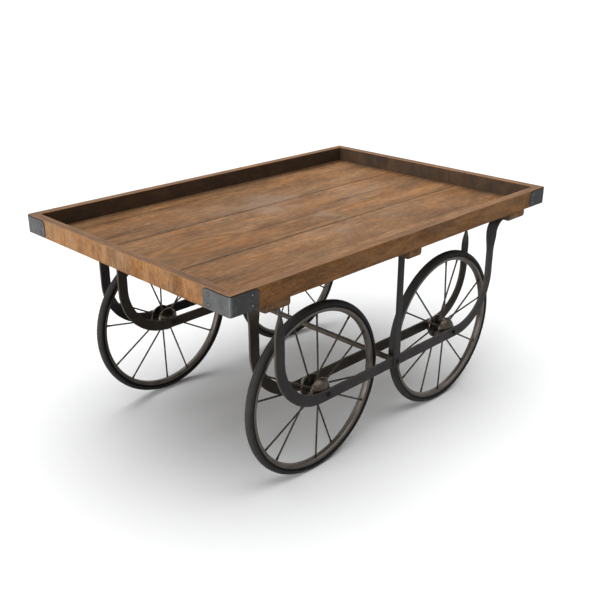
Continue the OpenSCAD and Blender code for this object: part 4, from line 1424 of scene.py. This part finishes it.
for end, side in corners:
    turnedPiece("rim", end, side, rimSection(), rimLook["segments"], rimSteel)
    turnedPiece("hub", end, side, hubSection(), hubLook["segments"], hubIron)
    name, node = cornerName("bushes", end, side), cornerNode("bushes", end, side)
    ringPairs(name, bushLook, [wheelCentre(end, side)], bushBronze, wheelBody(end, side), node)


# spoke steel: dark brown, a little brighter on worn spots
spokeShades = {
    "cloud": (30.0, 4.0, 0.62), "cloudEase": (0.36, 0.7), "dark": "#3b342b", "light": "#4d453a",
    "fine": (220.0, 2.0, 0.6), "fineEase": (0.5, 0.75), "stainShade": "#30281f", "stainShare": 0.4,
    "rough": (0.42, 0.3), "shine": 0.15, "metal": 0.3, "bump": (0.0003, 0.25),
}


def spokeFinish(name, look):
    finish, bench = newFinish(name)
    _, cloud, fine, colour = mottle(bench, look)
    closeFinish(bench, look, colour, roughFrom(cloud, look), fine, look["metal"])
    return finish


spokeSteel = spokeFinish("spokeSteel", spokeShades)
nippleSteel = fittingFinish("nippleSteel", "#2c2721", "#1f1a15", 0.0)
spokeSet = {
    "Pairs": 6, "Pair angle": math.radians(20.0), "Hub y": 0.019, "Rim y": 0.00775, "Crown radius": 0.310,
    "Outer radius": 0.3185, "Middle x": wheels["x"], "Middle y": wheels["y"], "Middle z": wheels["z"],
    "End sense": 1.0, "Side sense": 1.0,
}
spokeLook = {**spokeSet, "Inner radius": 0.0201, "Spoke diameter": 0.0075}
nippleLook = {**spokeSet, "Nipple diameter": 0.0095, "Nipple length": 0.013}


# spokes stand in pairs, one from each flange; the same points carry the nipples
def spokeTree(name, look, finish, nipples):
    bench = newTree(name, look)
    size = bench.size
    index = bench.add("GeometryNodeInputIndex")
    pair = (index / 2.0).calc("FLOOR")
    flank = bench.sum("MODULO", index, 2.0) * 2.0 - 1.0  # -1 or 1
    step = (2 * halfTurn) / size("Pairs")
    angle = step * (pair + 0.5) - (0.5 - flank * 0.5) * size("Pair angle")
    tilt = ((size("Hub y") - size("Rim y")) / size("Crown radius")).calc("ARCTANGENT")
    level = tilt.calc("COSINE")
    along = bench.vector(
        level * angle.calc("COSINE") * size("End sense"),
        -(flank * tilt.calc("SINE")) * size("Side sense"),
        level * angle.calc("SINE"),
    )
    rootY = size("Middle y") + flank * size("Hub y") * size("Side sense")
    root = bench.vector(size("Middle x"), rootY, size("Middle z"))
    count = size("Pairs") * 2.0
    points = bench.add("GeometryNodePoints", {}, {"Count": count, "Position": root})
    turn = bench.add("FunctionNodeAlignRotationToVector", {"axis": "Z"}, {"Vector": along})
    if nipples:
        low, high = size("Crown radius") - size("Nipple length"), size("Outer radius")
        wide = size("Nipple diameter") / 2
        body = bench.add("GeometryNodeMeshCone", {}, {
            "Vertices": 12, "Side Segments": 2, "Radius Top": wide, "Radius Bottom": wide * 0.86,
            "Depth": high - low,
        })
        height = low  # a cone stands on the origin
    else:
        low, high = size("Inner radius"), size("Outer radius")
        body = bench.add("GeometryNodeMeshCylinder", {}, {
            "Vertices": 12, "Side Segments": 24, "Radius": size("Spoke diameter") / 2, "Depth": high - low,
        })
        height = (low + high) / 2.0  # a cylinder is centred on it
    copies = copied(bench, lifted(bench, body, height), points, turn)
    return closeTree(bench, copies, finish)


spokeRows = [
    ("spokes", spokeTree("spokes", spokeLook, spokeSteel, False), spokeLook, spokeSteel),
    ("nipples", spokeTree("nipples", nippleLook, nippleSteel, True), nippleLook, nippleSteel),
]
for end, side in corners:
    x, y, z = wheelCentre(end, side)
    own = {"Middle x": x, "Middle y": y, "Middle z": z, "End sense": float(end), "Side sense": float(side)}
    for stem, grower, look, finish in spokeRows:
        name, node = cornerName(stem, end, side), cornerNode(stem, end, side)
        mesh = growMesh(name, grower, plainMesh("spokeStart", [(0.0, 0.0, 0.0)]), {**look, **own})
        placePiece(name, mesh, finish, wheelBody(end, side), [node], 50)
print("wheels built")

# stage: a pale floor, soft light from above and from the front end
stageLook = {
    "floorHalf": 60.0, "floorZ": -0.0005, "floorShade": (0.982, 0.988, 0.993), "bounceShade": 0.16,
    "ambient": 0.065,
    "lamps": [
        {"name": "overhead", "tilt": (0.0, 0.0), "power": 0.96, "spread": 78.0},
        {"name": "frontEnd", "tilt": (-87.0, 2.0), "power": 1.60, "spread": 50.0},
    ],
}


def layFloor():
    half = stageLook["floorHalf"]
    points = [(-half, -half, 0.0), (half, -half, 0.0), (half, half, 0.0), (-half, half, 0.0)]
    mesh = plainMesh("floor", points, (), [(0, 1, 2, 3)])
    finish, bench = newFinish("paleFloor")
    path = bench.add("ShaderNodeLightPath", out="Is Camera Ray")
    seen = path.calc("MAXIMUM", path.also("Is Glossy Ray"))
    bounce = stageLook["bounceShade"]
    paper = bench.add("ShaderNodeBsdfDiffuse", {}, {"Color": (*stageLook["floorShade"], 1.0)})
    dull = bench.add("ShaderNodeBsdfDiffuse", {}, {"Color": (bounce, bounce, bounce, 1.0)})
    surface = bench.add("ShaderNodeMixShader", {}, (seen, dull, paper))
    bench.add("ShaderNodeOutputMaterial", {}, {"Surface": surface})
    mesh.materials.append(finish)
    floor = bpy.data.objects.new("floor", mesh)
    floor.location.z = stageLook["floorZ"]
    scene.collection.objects.link(floor)


def lightRoom():
    world = bpy.data.worlds.new("studio")
    world.use_nodes = True
    world.node_tree.nodes.clear()
    bench = Bench(world.node_tree)
    path = bench.add("ShaderNodeLightPath", out="Is Camera Ray")
    direct = path.calc("MAXIMUM", path.also("Is Glossy Ray"))
    direct = direct.calc("MAXIMUM", path.also("Is Transmission Ray"))
    strength = stageLook["ambient"] + direct * (1.0 - stageLook["ambient"])
    sky = bench.add("ShaderNodeBackground", {}, {"Color": (1.0, 1.0, 1.0, 1.0), "Strength": strength})
    bench.add("ShaderNodeOutputWorld", {}, {"Surface": sky})
    scene.world = world
    for look in stageLook["lamps"]:
        lamp = bpy.data.lights.new(look["name"], "SUN")
        lamp.energy = look["power"] * halfTurn
        lamp.angle = math.radians(look["spread"])
        holder = bpy.data.objects.new(look["name"], lamp)
        lean, turn = (math.radians(v) for v in look["tilt"])
        holder.rotation_euler = (0.0, lean, turn)
        scene.collection.objects.link(holder)


# angles in degrees; the camera looks at the aim from that far back
cameraLook = {
    "lens": 50.0, "sensor": 36.0, "aim": (-0.0025, 0.0, 0.46359), "elevation": 22.4105, "azimuth": -45.0,
    "distance": 3.75082,
}


def setCamera(look):
    camera = bpy.data.cameras.new("camera")
    camera.lens, camera.sensor_width = look["lens"], look["sensor"]
    holder = bpy.data.objects.new("camera", camera)
    high, around = math.radians(look["elevation"]), math.radians(look["azimuth"])
    back = Vector((math.sin(around) * math.cos(high), -math.cos(around) * math.cos(high), math.sin(high)))
    holder.location = Vector(look["aim"]) + back * look["distance"]
    holder.rotation_euler = (-back).to_track_quat("-Z", "Y").to_euler()
    scene.collection.objects.link(holder)
    scene.camera = holder


layFloor()
lightRoom()
setCamera(cameraLook)
scene.view_settings.view_transform = "Standard"
print("stage ready")
